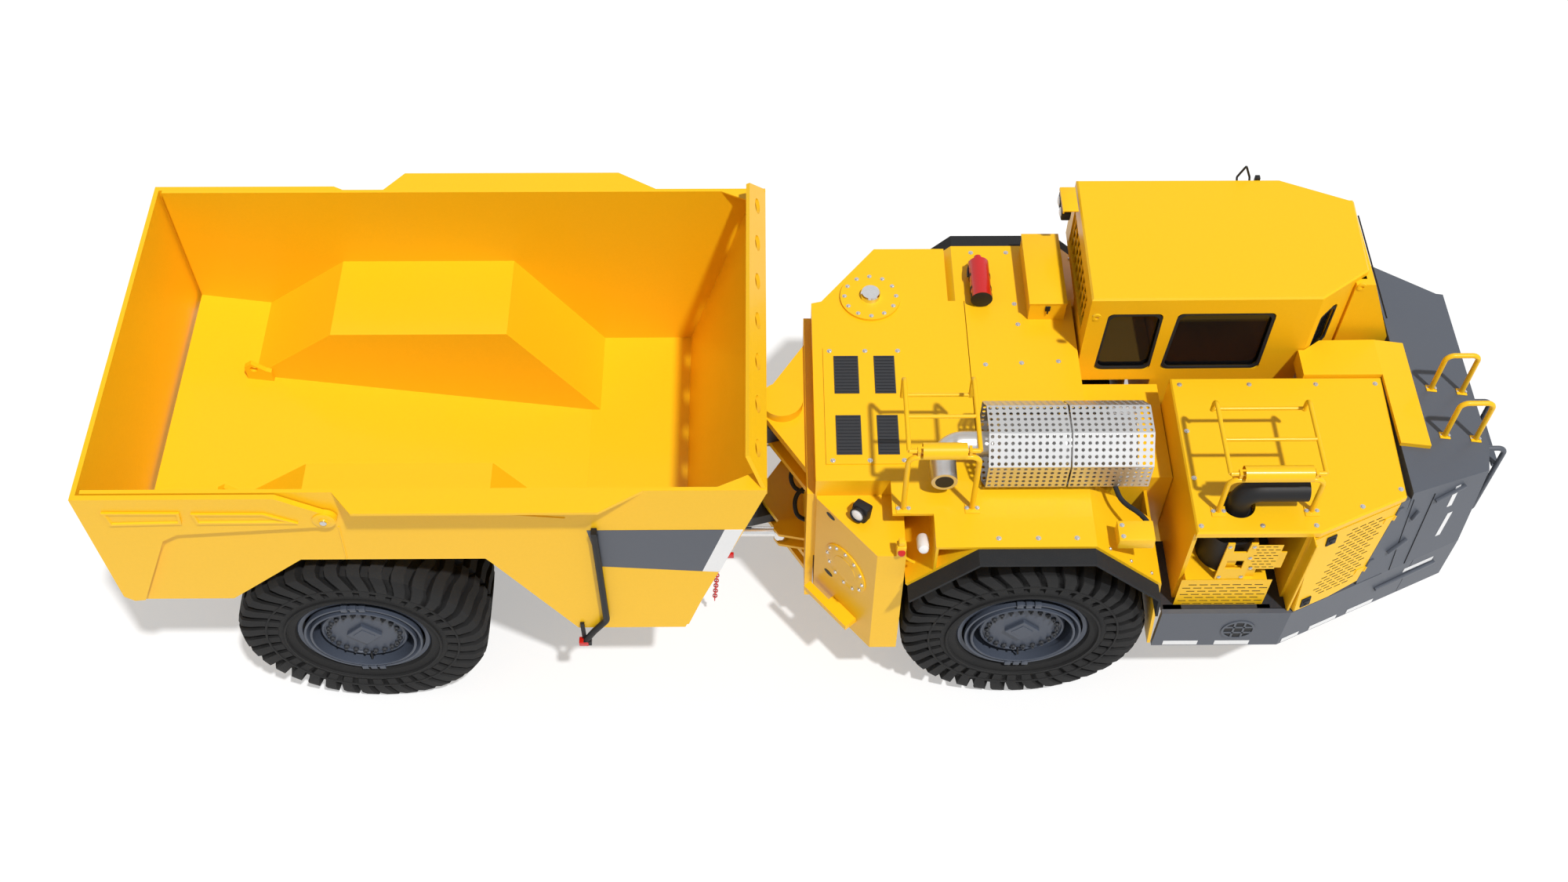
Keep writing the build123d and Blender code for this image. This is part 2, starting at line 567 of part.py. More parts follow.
with BuildPart() as mid_module:
    block(SEAM_X + GAP, 5540, -600, 600, FRAME_TOP, DECK_Z)
    block(SEAM_X + GAP, 5540, 600, DECK_HALF, 1960, DECK_Z)
    block(SEAM_X + GAP, 5540, -DECK_HALF, -600, 1960, DECK_Z)
    block(SEAM_X + GAP - 1, 5541, -DECK_HALF - 1, -370, 2080, DECK_Z + 1, Mode.SUBTRACT)
    block(5540, HOOD_REAR - GAP, -600, 300, FRAME_TOP, CAB_SHELF_Z - 20)
    with Locations((WHEELBASE, 0, TYRE_R)):
        Sphere(330, mode=Mode.SUBTRACT)
save("mid_module", mid_module)

with BuildPart() as electrical_box:
    block(5180, 5465, 670, 1395, DECK_Z, DECK_Z + 190)
save("electrical_box", electrical_box)

with BuildPart() as extinguisher:
    bar((4820, 800, DECK_Z + 100), (4820, 1170, DECK_Z + 100), 82)
    bar((4820, 1170, DECK_Z + 100), (4820, 1240, DECK_Z + 100), 30)
    for y in (880, 1080):
        block(4760, 4880, y - 20, y + 20, DECK_Z, DECK_Z + 50)
save("extinguisher", extinguisher)

# ---- Fenders and rubber lips ------------------------------------------------------------------


def offset_down(points, depth):
    """Copy an arch line towards the wheel."""
    low = [(points[0][0] + depth * 0.6, points[0][1] - depth * 0.8)]
    low += [(points[1][0] + depth * 0.4, points[1][1] - depth), (points[2][0] - depth * 0.4, points[2][1] - depth)]
    return low + [(points[3][0] - depth * 0.8, points[3][1] - depth * 0.5), (points[4][0] - depth, points[4][1])]


ARCH_UNDER = offset_down(ARCH, FENDER_T)
LIP_UNDER = offset_down(ARCH_UNDER, LIP_T)


def lip_end(points):
    """Point where a front edge line reaches the lip's lower end."""
    share = (points[3][1] - LIP_END_Z) / (points[3][1] - points[4][1])
    return (points[3][0] + share * (points[4][0] - points[3][0]), LIP_END_Z)


LIP_OUTLINE = [*ARCH_UNDER[:4], lip_end(ARCH_UNDER), lip_end(LIP_UNDER), *reversed(LIP_UNDER[:4])]
for side, sign in SIDES:
    with BuildPart() as fender:
        across([*ARCH, *reversed(ARCH_UNDER)], sign * (DECK_HALF + FIT), sign * FENDER_OUT)
        across(
            [ARCH[3], ARCH[4], ARCH_UNDER[4], ARCH_UNDER[3]], sign * 605, sign * (DECK_HALF + FIT),
        )
        if sign < 0:
            flat(
                [
                    (4030, -DECK_HALF - FIT), (4030, -1160), (4330, -1160), (4330, -FENDER_OUT), (4640, -FENDER_OUT),
                    (4640, -DECK_HALF - FIT),
                ],
                DECK_Z - FENDER_T,
                DECK_Z,
            )
            block(4330, 4350, -FENDER_OUT, -DECK_HALF - FIT, 1930, DECK_Z - FENDER_T)
            block(SHIELD_X[0] - 15, SHIELD_X[1] + 15, -925, -DECK_HALF, 2190, 2260, Mode.SUBTRACT)
    save("fender_" + side, fender)

    with BuildPart() as lip:
        across(LIP_OUTLINE, sign * (FENDER_OUT - 60), sign * LIP_OUT)
    save("fender_lip_" + side, lip)

# ---- Heat shield and exhaust ------------------------------------------------------------------


def octagon(half_flat):
    """Corner list of an upright octagon in (y, z) around the shield's axis."""
    corner = half_flat / cos(radians(22.5))
    turns = [radians(22.5 + 45 * step) for step in range(8)]
    return [(SHIELD_AXIS[0] + corner * cos(t), SHIELD_AXIS[1] + corner * sin(t)) for t in turns]


with BuildPart() as heat_shield:
    for half, mode in ((SHIELD_FLAT, Mode.ADD), (SHIELD_FLAT - SHIELD_T, Mode.SUBTRACT)):
        with BuildSketch(Plane((SHIELD_X[0], 0, 0), x_dir=(0, 1, 0), z_dir=(1, 0, 0))) as face:
            with BuildLine():
                Polyline(*octagon(half), close=True)
            make_face()
        extrude(face.sketch, amount=SHIELD_X[1] - SHIELD_X[0], mode=mode)
    for x in (4850, 5450):
        block(x, x + 60, -900, -460, 2080, SHIELD_AXIS[1] - SHIELD_FLAT)
save("heat_shield", heat_shield)

with BuildPart() as exhaust:
    bar((4800, *SHIELD_AXIS), (5800, *SHIELD_AXIS), 215)
    tube([(4810, *SHIELD_AXIS), (4400, *SHIELD_AXIS), (4400, -1020, SHIELD_AXIS[1])], 170, EXHAUST_R)
    for x in (4880, 5480):
        block(x, x + 30, -SHIELD_T - 690, -670, SHIELD_AXIS[1] - SHIELD_FLAT + SHIELD_T, SHIELD_AXIS[1] - 205)
save("exhaust", exhaust)

# ---- Cab ----------------------------------------------------------------------------------------

CAB_FOOT_PLAN = ((CAB_REAR_FOOT, 334.0), *CAB_PLAN[1:5], (CAB_REAR_FOOT, 1575.0))
CAB_SHELF_PLAN = ((5560.0, 330.0), (CAB_REAR_FOOT, 334.0), (CAB_REAR_FOOT, CAB_ARCH_Y), (5567.0, CAB_ARCH_Y))
COWL = ((7600, 2080), (8000, 2080), (8000, 2200), (7745, CAB_EAVES_Z), (7600, CAB_EAVES_Z))
COWL_IN = ((7500, 2140), (7940, 2140), (7940, 2190), (7690, CAB_EAVES_Z + 1), (7500, CAB_EAVES_Z + 1))
COWL_Y = (520.0, 1400.0)
# Windows: wall's first corner in the plan, and corners as (distance along the wall, height)
WINDOWS = (
    {"wall": 0, "corners": ((130, 2030), (570, 2030), (570, 2700), (150, 2700))},
    {"wall": 0, "corners": ((650, 2030), (1430, 2030), (1430, 2700), (680, 2700))},
    {"wall": 1, "corners": ((60, 2080), (230, 2240), (230, 2700), (60, 2600))},
    {"wall": 3, "corners": ((80, 1700), (480, 1700), (480, 2700), (80, 2700))},
)


def wall_plane(index):
    """Plane on the outside of a cab wall, with x along the wall and y up."""
    start = CAB_PLAN[index]
    end = CAB_PLAN[(index + 1) % len(CAB_PLAN)]
    way = (end[0] - start[0], end[1] - start[1])
    return Plane((start[0], start[1], 0), x_dir=(way[0], way[1], 0), z_dir=(way[1], -way[0], 0))


def window(row, shift, depth, mode):
    """Add or cut one rounded window, starting a given distance outside its wall."""
    with BuildSketch(wall_plane(row["wall"]).offset(shift)) as face:
        with BuildLine():
            Polyline(*row["corners"], close=True)
        make_face()
        fillet(face.vertices(), 45)
    extrude(face.sketch, amount=-depth, mode=mode)


def shell_plan(plan, inset, z0, z1, mode):
    """Extrude a plan outline, moved in by a wall."""
    with BuildSketch(Plane.XY.offset(z0)) as face:
        with BuildLine():
            Polyline(*plan, close=True)
        make_face()
        if inset:
            offset(amount=-inset, kind=Kind.INTERSECTION)
    extrude(face.sketch, amount=z1 - z0, mode=mode)


with BuildPart() as cab_body:
    shell_plan(CAB_PLAN, 0, CAB_ARCH_Z, CAB_EAVES_Z, Mode.ADD)
    shell_plan(CAB_SHELF_PLAN, 0, CAB_SHELF_Z, CAB_ARCH_Z, Mode.ADD)
    shell_plan(CAB_FOOT_PLAN, 0, CAB_FLOOR_Z, CAB_ARCH_Z, Mode.ADD)
    across(COWL, *COWL_Y)
    shell_plan(CAB_PLAN, CAB_WALL, CAB_ARCH_Z + CAB_WALL, CAB_EAVES_Z + 1, Mode.SUBTRACT)
    block(
        CAB_PLAN[0][0] + CAB_WALL, CAB_REAR_FOOT + CAB_WALL, 390, CAB_ARCH_Y - CAB_WALL,
        CAB_SHELF_Z + CAB_WALL, CAB_ARCH_Z + CAB_WALL + 1, Mode.SUBTRACT,
    )
    shell_plan(CAB_FOOT_PLAN, CAB_WALL, CAB_FLOOR_Z + CAB_WALL, CAB_ARCH_Z + CAB_WALL + 1, Mode.SUBTRACT)
    across(COWL_IN, COWL_Y[0] + CAB_WALL, COWL_Y[1] - CAB_WALL, Mode.SUBTRACT)
    for row in WINDOWS:
        window(row, 10, CAB_WALL + 30, Mode.SUBTRACT)
    across(
        [(8020, 2260), (7940, 2260), (7690, 2760), (7800, 2760)], COWL_Y[0] + 110, COWL_Y[1] - 110, Mode.SUBTRACT,
    )
    block(DOOR_X[0] - GAP, DOOR_X[1] + GAP, 1500, 1600, DOOR_Z[0] - GAP, DOOR_Z[1] + GAP, Mode.SUBTRACT)
    block(5540, 5640, 480, 1420, 2340, 2700, Mode.SUBTRACT)
    for y in range(527, 1400, 94):
        bar((5590, y, 2335), (5590, y, 2705), 9)
    for z in (2430, 2520, 2610):
        bar((5600, 475, z), (5600, 1425, z), 9)
    for x in (6250, 7450):
        block(x, x + 120, FRONT_RAIL_Y[0] + 5, FRONT_RAIL_Y[1] - 5, FRAME_TOP + FIT, CAB_FLOOR_Z)
    for z in HINGE_Z:
        bar((*DOOR_AXIS, z + HINGE_H / 2 + FIT), (*DOOR_AXIS, z + HINGE_H), HINGE_R)
        block(
            DOOR_AXIS[0] + 5, DOOR_AXIS[0] + 60, CAB_PLAN[4][1], DOOR_AXIS[1],
            z + HINGE_H / 2 + FIT, z + HINGE_H,
        )
save("cab_body", cab_body)

with BuildPart() as cab_roof:
    flat(CAB_PLAN, CAB_EAVES_Z, CAB_ROOF_Z)
    chamfer(cab_roof.faces().sort_by(Axis.Z)[-1].edges(), 14)
save("cab_roof", cab_roof)

with BuildPart() as cab_glass:
    for row in WINDOWS:
        window(row, -CAB_WALL / 2, GLASS_T, Mode.ADD)
    across([(7987, 2260), (7973, 2260), (7740, 2760), (7754, 2760)], COWL_Y[0] + 110, COWL_Y[1] - 110)
save("cab_glass", cab_glass)

with BuildPart() as cab_door:
    block(*DOOR_X, 1515, 1575, *DOOR_Z)
    block(DOOR_X[0] + 90, DOOR_X[1] - 90, 1500, 1600, 1950, DOOR_Z[1] - 90, Mode.SUBTRACT)
    block(DOOR_X[0] + 90, DOOR_X[1] - 90, 1500, 1600, 1470, 1830, Mode.SUBTRACT)
    bar((DOOR_X[0] + 60, 1575, 1850), (DOOR_X[0] + 60, 1590, 1850), 30)
    for z in HINGE_Z:
        bar((*DOOR_AXIS, z), (*DOOR_AXIS, z + HINGE_H / 2), HINGE_R)
        block(DOOR_AXIS[0] - 60, DOOR_AXIS[0], CAB_PLAN[4][1], DOOR_AXIS[1], z, z + HINGE_H / 2)
save("cab_door", cab_door)

with BuildPart() as door_glass:
    block(DOOR_X[0] + 90, DOOR_X[1] - 90, 1540, 1552, 1950, DOOR_Z[1] - 90)
    block(DOOR_X[0] + 90, DOOR_X[1] - 90, 1540, 1552, 1470, 1830)
save("door_glass", door_glass)

with BuildPart() as seat:
    block(6230, 6700, 730, 1210, 1640, 1780)
    across([(6225, 1780), (6335, 1780), (6335, 2440), (6225, 2440)], 740, 1200)
    block(6320, 6600, 840, 1100, CAB_FLOOR_Z + CAB_WALL, 1640)
save("seat", seat)

with BuildPart() as steering_wheel:
    column = Plane((7150, 970, 1960), z_dir=(-0.5, 0, 0.866))
    with Locations(column):
        Torus(190, 17)
        Cylinder(45, 60)
        Box(360, 36, 14)
    bar((7150, 970, 1960), (7370, 970, 1580), 38)
    block(7260, 7560, 700, 1240, CAB_FLOOR_Z + CAB_WALL, 1720)
save("steering_column", steering_wheel)

# ---- Hood, engine, air intake and service bay -----------------------------------------------------

TURN = (cos(radians(SIDE_TURN)), sin(radians(SIDE_TURN)))
SIDE_PLANE = Plane(
    (HOOD_BEND_X - 10, -SKIRT_Y, SKIRT_TOP),
    x_dir=(TURN[0], TURN[1], 0),
    z_dir=(TURN[1], -TURN[0], SIDE_LEAN),
)
HOOD_PLAN = (
    (HOOD_REAR, HOOD_IN), (HOOD_REAR, -HOOD_OUT), (HOOD_BEND_X, -HOOD_OUT), (7810, -1030), (HOOD_FRONT, HOOD_IN),
)
with BuildPart() as hood:
    flat(HOOD_PLAN, DECK_Z - HOOD_T, DECK_Z)
    block(HOOD_REAR, HOOD_REAR + 30, -1300, HOOD_IN, FRAME_TOP, DECK_Z - HOOD_T)
    block(HOOD_REAR, HOOD_FRONT - 20, HOOD_IN - 30, HOOD_IN, FRAME_TOP, DECK_Z - HOOD_T)
    block(7050, 7080, -1300, -440, FRAME_TOP, DECK_Z - HOOD_T)
    bar((6560, -1090, DECK_Z - 80), (6560, -1090, DECK_Z + 10), 121, Mode.SUBTRACT)
    chamfer(hood.faces().sort_by(Axis.Z)[-1].outer_wire().edges(), 12)
save("hood", hood)

with BuildPart() as engine_block:
    block(6330, 7480, -FRONT_RAIL_Y[0] + FIT, 40, 770, 2020)
save("engine_block", engine_block)

BAY_TOP = 1630.0
with BuildPart() as air_intake:
    bar((6560, -1090, BAY_TOP + FIT), (6560, -1090, 2000), 200)
    bar((6560, -1090, 2000), (6560, -1090, DECK_Z - HOOD_T), 110)
    tube([(6560, -1090, DECK_Z - HOOD_T - 20), (6560, -1090, 2420), (7020, -1090, 2420)], 130, 85)
save("air_intake", air_intake)

with BuildPart() as bay_box:
    block(HOOD_REAR + 30 + FIT, 6860, -1360, -700, FRAME_TOP, BAY_TOP)
    block(6520, 6760, -1330, -1320, BAY_TOP, 1960)
    block(6760, 6940, -1330, -1320, 1750, 1960)
    block(6590, 6690, -1340, -1310, 1770, 1850, Mode.SUBTRACT)
save("bay_box", bay_box)

DOOR_OUTLINE = ((15, 12), (330, 12), (590, 60), (785, 885), (15, 885))
SIDE_HINGE = ((593.0, 60.0), (788.0, 885.0))    # line of the door's hinges in the side plane
SIDE_HINGE_OUT = 9.0
KNUCKLES = (0.14, 0.80)                          # places of the two hinges along that line


def side_panel(outline):
    """Add a plate in the slanted side plane."""
    with BuildSketch(SIDE_PLANE.offset(-SKIRT_T)) as face:
        with BuildLine():
            Polyline(*outline, close=True)
        make_face()
    extrude(face.sketch, amount=SKIRT_T)


def side_knuckle(start, end, reach):
    """Add one hinge knuckle with a leaf that reaches along the side plane."""
    low = Vector(*SIDE_HINGE[0], 0)
    way = Vector(*SIDE_HINGE[1], 0) - low
    first = low + way * start
    last = low + way * end
    bar(
        tuple(SIDE_PLANE.from_local_coords((first.X, first.Y, SIDE_HINGE_OUT))),
        tuple(SIDE_PLANE.from_local_coords((last.X, last.Y, SIDE_HINGE_OUT))),
        SIDE_HINGE_OUT,
    )
    with BuildSketch(SIDE_PLANE) as face:
        with BuildLine():
            Polyline(
                (first.X, first.Y), (last.X, last.Y), (last.X + reach, last.Y), (first.X + reach, first.Y), close=True
            )
        make_face()
    extrude(face.sketch, amount=SIDE_HINGE_OUT)


with BuildPart() as side_door:
    side_panel(DOOR_OUTLINE)
    for place in KNUCKLES:
        side_knuckle(place, place + 0.0600, -90)
save("side_door", side_door)

# ---- Skirts and nose --------------------------------------------------------------------------------

NOSE_REAR = FRAME_FRONT + FIT


def side_y(x, z):
    """Right side of the slanted front at a station and height."""
    lean = SIDE_LEAN * max(0.0, z - SKIRT_TOP)
    return -SKIRT_Y + ((x - HOOD_BEND_X + 10) * TURN[1] + lean) / TURN[0]


def nose_plan(rear, z):
    """Plan outline of the nose ahead of a station, at one height."""
    lean = SIDE_LEAN * max(0.0, z - SKIRT_TOP)
    corner = side_y(8540, z)
    return [
        (rear, side_y(rear, z)), (8540, corner), (NOSE_FRONT, corner + 230), (NOSE_FRONT, 1040), (8540, 1130 - lean),
        (rear, 1130 - lean + (8540 - rear) * TURN[1] / TURN[0]),
    ]


def nose_z(x):
    """Height of the sloping nose top at a station."""
    return 2225 - (x - 7860) * (2225 - NOSE_TOP) / (NOSE_FRONT + 1 - 7860)


with BuildPart() as nose:
    flat(nose_plan(NOSE_REAR, SKIRT_LOW), SKIRT_LOW, SKIRT_TOP)
    with BuildSketch(Plane.XY.offset(SKIRT_TOP)) as foot_face:
        with BuildLine():
            Polyline(*nose_plan(7870, SKIRT_TOP), close=True)
        make_face()
    with BuildSketch(Plane.XY.offset(DECK_Z)) as top_face:
        with BuildLine():
            Polyline(*nose_plan(7870, DECK_Z), close=True)
        make_face()
    loft(sections=[foot_face.sketch.face(), top_face.sketch.face()], ruled=True)
    across([(7860, 2225), (NOSE_FRONT + 1, NOSE_TOP), (NOSE_FRONT + 1, 2300), (7860, 2300)], -1500, 1500, Mode.SUBTRACT)
    block(7860, 8016, 440, 1500, SKIRT_TOP - 1, 2300, Mode.SUBTRACT)
    side_panel(((596, 12), (870, 12), (870, 885), (791, 885), (596, 60)))
    for place in KNUCKLES:
        side_knuckle(place + 0.0604, place + 0.1200, 50)
save("nose", nose)

COVER_FRONT = 8100.0
COVER_T = 40.0
with BuildPart() as nose_cover:
    across(
        [
            (HOOD_FRONT + 8, nose_z(HOOD_FRONT + 8) + FIT + 0.1), (COVER_FRONT, nose_z(COVER_FRONT) + FIT + 0.1),
            (COVER_FRONT, nose_z(COVER_FRONT) + COVER_T), (HOOD_FRONT + 8, nose_z(HOOD_FRONT + 8) + COVER_T),
        ],
        -560,
        430,
    )
    flat(
        [
            (7250, HOOD_IN + GAP), (7250, 330), (7296, 330), (7432, 425), (HOOD_FRONT + 9, 430),
            (HOOD_FRONT + 9, HOOD_IN + GAP),
        ],
        2110,
        nose_z(HOOD_FRONT + 8) + COVER_T,
    )
save("nose_cover", nose_cover)

with BuildPart() as skirt_right:
    flat(
        [
            (SKIRT_REAR, -SKIRT_Y), (HOOD_BEND_X - 10, -SKIRT_Y), (FRAME_FRONT - 4, side_y(FRAME_FRONT - 4, 0)),
            (FRAME_FRONT - 4, side_y(FRAME_FRONT - 4, 0) + SKIRT_T), (HOOD_BEND_X - 20, -SKIRT_Y + SKIRT_T),
            (SKIRT_REAR, -SKIRT_Y + SKIRT_T),
        ],
        SKIRT_LOW,
        SKIRT_TOP,
    )
    block(6300, 6360, -SKIRT_Y + SKIRT_T, -FRONT_RAIL_Y[1], 1000, 1080)
    block(6900, 6960, -SKIRT_Y + SKIRT_T, -FRONT_RAIL_Y[1], 1000, 1080)
save("skirt_right", skirt_right)

with BuildPart() as skirt_left:
    flat(
        [
            (SKIRT_REAR, 1410), (7560, 1410), (FRAME_FRONT - 4, 1290), (FRAME_FRONT - 4, 1330), (7560, 1500),
            (SKIRT_REAR, 1500),
        ],
        SKIRT_LOW,
        1180,
    )
    for z in (860, 1120):
        block(6500, 7060, 1500, 1580, z, z + 25)
    block(6300, 6360, FRONT_RAIL_Y[1], 1410, 1000, 1080)
    block(7300, 7360, FRONT_RAIL_Y[1], 1410, 1000, 1080)
save("skirt_left", skirt_left)

with BuildPart() as ladder:
    for y in (-420, 30):
        tube([(NOSE_FRONT, y, 1990), (LADDER_OUT, y, 1990), (LADDER_OUT, y, 1150), (NOSE_FRONT, y, 1150)], 60, RAIL_TUBE_R)
    for z in (1250, 1500, 1750):
        block(8740, 8790, -420, 30, z, z + 25)
save("ladder", ladder)

with BuildPart() as grab_rails:
    for y in (-420, 30):
        tube(
            [(8250, y, nose_z(8230) + FIT), (8250, y, 2560), (8500, y, 2560), (8500, y, nose_z(8480) + FIT)],
            60,
            RAIL_TUBE_R,
        )
save("grab_rails", grab_rails)

# ---- Handrails ----------------------------------------------------------------------------------------

for row in HANDRAILS:
    rear_post, front_post = row["posts"]
    top = row["deck"] + row["loop"]
    with BuildPart() as handrail_base:
        tube(
            [(rear_post, row["y"], row["deck"]), (rear_post, row["y"], top), (front_post, row["y"], top),
             (front_post, row["y"], row["deck"])],
            70,
            RAIL_TUBE_R,
        )
        block(rear_post + 30, front_post - 30, row["y"] + 15, row["y"] + 55, top - 30, top)
        for x in (rear_post + 60, front_post - 80):
            block(x, x + 20, row["y"] - 8, row["y"] + 48, top - 5, top + 45 + 26)
            bar((x - 1, row["y"] + 20, top + 45), (x + 21, row["y"] + 20, top + 45), RAIL_TUBE_R - 3 + FIT, Mode.SUBTRACT)
    save("handrail_base_" + row["name"], handrail_base)

    frame_z = top + 45
    hinge_y = row["y"] + 20
    with BuildPart() as handrail_frame:
        for x in (rear_post, front_post):
            tube(
                [(x, hinge_y, frame_z), (x, row["y"] + row["depth"], frame_z),
                 (x, row["y"] + row["depth"], frame_z - row["leg"])],
                70,
                RAIL_TUBE_R - 3,
            )
        for y, z in ((row["y"] + 320, frame_z), (row["y"] + row["depth"], frame_z - row["leg"] + 17)):
            bar((rear_post, y, z), (front_post, y, z), 14)
        bar((rear_post, hinge_y, frame_z), (front_post, hinge_y, frame_z), 17)
    save("handrail_frame_" + row["name"], handrail_frame)
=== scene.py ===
# %% [markdown]
# This file builds the looks of a low articulated dump truck around its CAD frame. The frame comes first,
# because every piece takes its place from a CAD node's box and rides on a CAD body. Lengths are in metres.

# %% Load the frame
import json
import math

import bpy
from mathutils import Matrix, Vector


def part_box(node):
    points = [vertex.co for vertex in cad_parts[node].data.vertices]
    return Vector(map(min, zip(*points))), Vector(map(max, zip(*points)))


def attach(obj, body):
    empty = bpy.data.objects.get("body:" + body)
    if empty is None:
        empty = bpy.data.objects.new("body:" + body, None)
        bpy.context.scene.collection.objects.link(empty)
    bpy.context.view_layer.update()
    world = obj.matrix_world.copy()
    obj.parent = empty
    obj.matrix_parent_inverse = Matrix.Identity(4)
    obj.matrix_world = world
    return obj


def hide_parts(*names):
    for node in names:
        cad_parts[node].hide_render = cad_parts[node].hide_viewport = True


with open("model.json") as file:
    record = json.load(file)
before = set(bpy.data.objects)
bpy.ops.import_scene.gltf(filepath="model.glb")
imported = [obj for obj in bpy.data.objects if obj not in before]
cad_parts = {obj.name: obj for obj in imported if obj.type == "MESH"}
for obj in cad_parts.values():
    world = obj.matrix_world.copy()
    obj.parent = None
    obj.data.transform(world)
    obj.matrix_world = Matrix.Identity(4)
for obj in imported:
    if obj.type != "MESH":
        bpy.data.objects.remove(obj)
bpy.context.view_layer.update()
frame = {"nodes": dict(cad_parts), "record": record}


wheel_low, wheel_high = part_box("tyre_rear_right")
REAR_AXLE = (wheel_low + wheel_high) / 2

# %% [markdown]
# The camera looks down at the right side from about thirteen metres up. Its turn is written as three
# angles: a yaw towards the nose, a pitch down and a small roll. Standard view transform keeps the paint as
# strong as it is written.

# %% Camera
YAW, PITCH, ROLL = math.radians(1.141), math.radians(54.023), math.radians(0.645)
CAMERA_PLACE = (-0.487, -8.138, 12.763)
FOCUS_LENGTH = 39.98
SENSOR_WIDTH = 36
SIGHT = 200
forward = Vector((math.sin(YAW) * math.cos(PITCH), math.cos(YAW) * math.cos(PITCH), -math.sin(PITCH)))
right = Vector((math.cos(YAW), -math.sin(YAW), 0))
up = right.cross(forward)
turn_right = math.cos(ROLL) * right + math.sin(ROLL) * up
turn_up = math.cos(ROLL) * up - math.sin(ROLL) * right
camera_data = bpy.data.cameras.new("main_camera")
camera_data.lens = FOCUS_LENGTH
camera_data.sensor_width = SENSOR_WIDTH
camera_data.clip_end = SIGHT
camera = bpy.data.objects.new("main_camera", camera_data)
aim = Matrix((turn_right, turn_up, -forward)).transposed().to_4x4()
camera.matrix_world = Matrix.Translation(CAMERA_PLACE) @ aim
bpy.context.scene.collection.objects.link(camera)
bpy.context.scene.camera = camera
bpy.context.scene.view_settings.view_transform = "Standard"
print("camera at", tuple(round(v, 2) for v in camera.location))

# %% [markdown]
# A material is a small tree of nodes. The class below wraps one output of that tree, so that shader sums
# can be written as Python sums. Every other node comes from its one method named node.


# %% Shader sums
class Wire:
    """An output of a material's node tree that takes Python operators."""

    def __init__(self, tree, socket=None):
        self.tree = tree
        self.socket = socket

    def node(self, kind, settings=None, inputs=None, output=0):
        """Add a node, set it up, join its inputs and return one output."""
        made = self.tree.nodes.new("ShaderNode" + kind)
        for name, value in (settings or {}).items():
            if name == "stops":
                while len(made.color_ramp.elements) < len(value):
                    made.color_ramp.elements.new(0.5)
                for element, (place, grey) in zip(made.color_ramp.elements, value):
                    element.position = place
                    element.color = (grey, grey, grey, 1)
            else:
                setattr(made, name, value)
        for key, value in (inputs or {}).items():
            if isinstance(value, Wire):
                self.tree.links.new(value.socket, made.inputs[key])
            else:
                made.inputs[key].default_value = value
        return Wire(self.tree, made.outputs[output])

    def sum(self, operation, *values):
        return self.node("Math", {"operation": operation}, dict(enumerate(values)))

    def __add__(self, other):
        return self.sum("ADD", self, other)

    def __sub__(self, other):
        return self.sum("SUBTRACT", self, other)

    def __rsub__(self, other):
        return self.sum("SUBTRACT", other, self)

    def __mul__(self, other):
        return self.sum("MULTIPLY", self, other)

    def __truediv__(self, other):
        return self.sum("DIVIDE", self, other)

    def __gt__(self, other):
        return self.sum("GREATER_THAN", self, other)

    def __lt__(self, other):
        return self.sum("LESS_THAN", self, other)

    __radd__ = __add__
    __rmul__ = __mul__

    def mix(self, low, high):
        """Blend two colours by this factor."""
        return self.node("Mix", {"data_type": "RGBA"}, {0: self, 6: colour(low), 7: colour(high)}, 2)


def colour(value):
    """Give a plain colour its fourth number."""
    return value if isinstance(value, Wire) else (*value[:3], 1)


def begin(name):
    """Start an empty material and return its tree, its coordinates and its shader."""
    material = bpy.data.materials.new(name)
    material.use_nodes = True
    tree = material.node_tree
    shader = tree.nodes["Principled BSDF"]
    start = Wire(tree)
    return material, shader, start, start.node("TexCoord", output=3)


def feed(shader, wire, name):
    """Join one output to the shader's named input."""
    wire.tree.links.new(wire.socket, shader.inputs[name])


def hold(shader, values):
    """Set the sockets that stay the same all over."""
    for name, value in values.items():
        shader.inputs[name].default_value = value


def noise(place, scale, detail, roughness=0.5):
    """Cloudy pattern over the given coordinates."""
    return place.node(
        "TexNoise", None, {"Vector": place, "Scale": scale, "Detail": detail, "Roughness": roughness},
    )


def relief(shader, height, strength, distance=0.002):
    """Raise a fine relief on the surface."""
    feed(
        shader, height.node("Bump", None, {"Strength": strength, "Distance": distance, "Height": height}),
        "Normal",
    )


print("shader wires ready")

# %% [markdown]
# Machine paint is a thick gloss coat over steel plate. It has a fine orange-peel, a little dust that lies
# in broad soft patches, and a change of shade too small to notice on its own. Each finish below is the same
# recipe with its own colour, so that neighbouring parts look painted in one shop.


# %% Paints
def paint(name, base, gloss, coat, dust=0.05, peel=0.02):
    """Make one painted finish."""
    material, shader, start, place = begin(name)
    fine = noise(place, 38.0, 3.0, 0.6)
    grain = noise(place, 420.0, 2.0)
    patch = start.node(
        "ValToRGB", {"stops": ((0.42, 0.0), (0.72, 1.0))}, {"Fac": noise(place, 1.7, 4.0, 0.6)},
    )
    dusty = (patch * fine) * dust
    shade = (fine * 0.5).mix(base, tuple(0.88 * channel for channel in base))
    feed(shader, dusty.mix(shade, tuple(0.70 * channel + 0.05 for channel in base)), "Base Color")
    feed(shader, gloss + dusty * 1.2 + grain * 0.05, "Roughness")
    relief(shader, grain * peel + fine * (peel * 3), 0.25)
    hold(shader, {"Coat Weight": coat, "Coat Roughness": 0.12, "Specular IOR Level": 0.28})
    return material


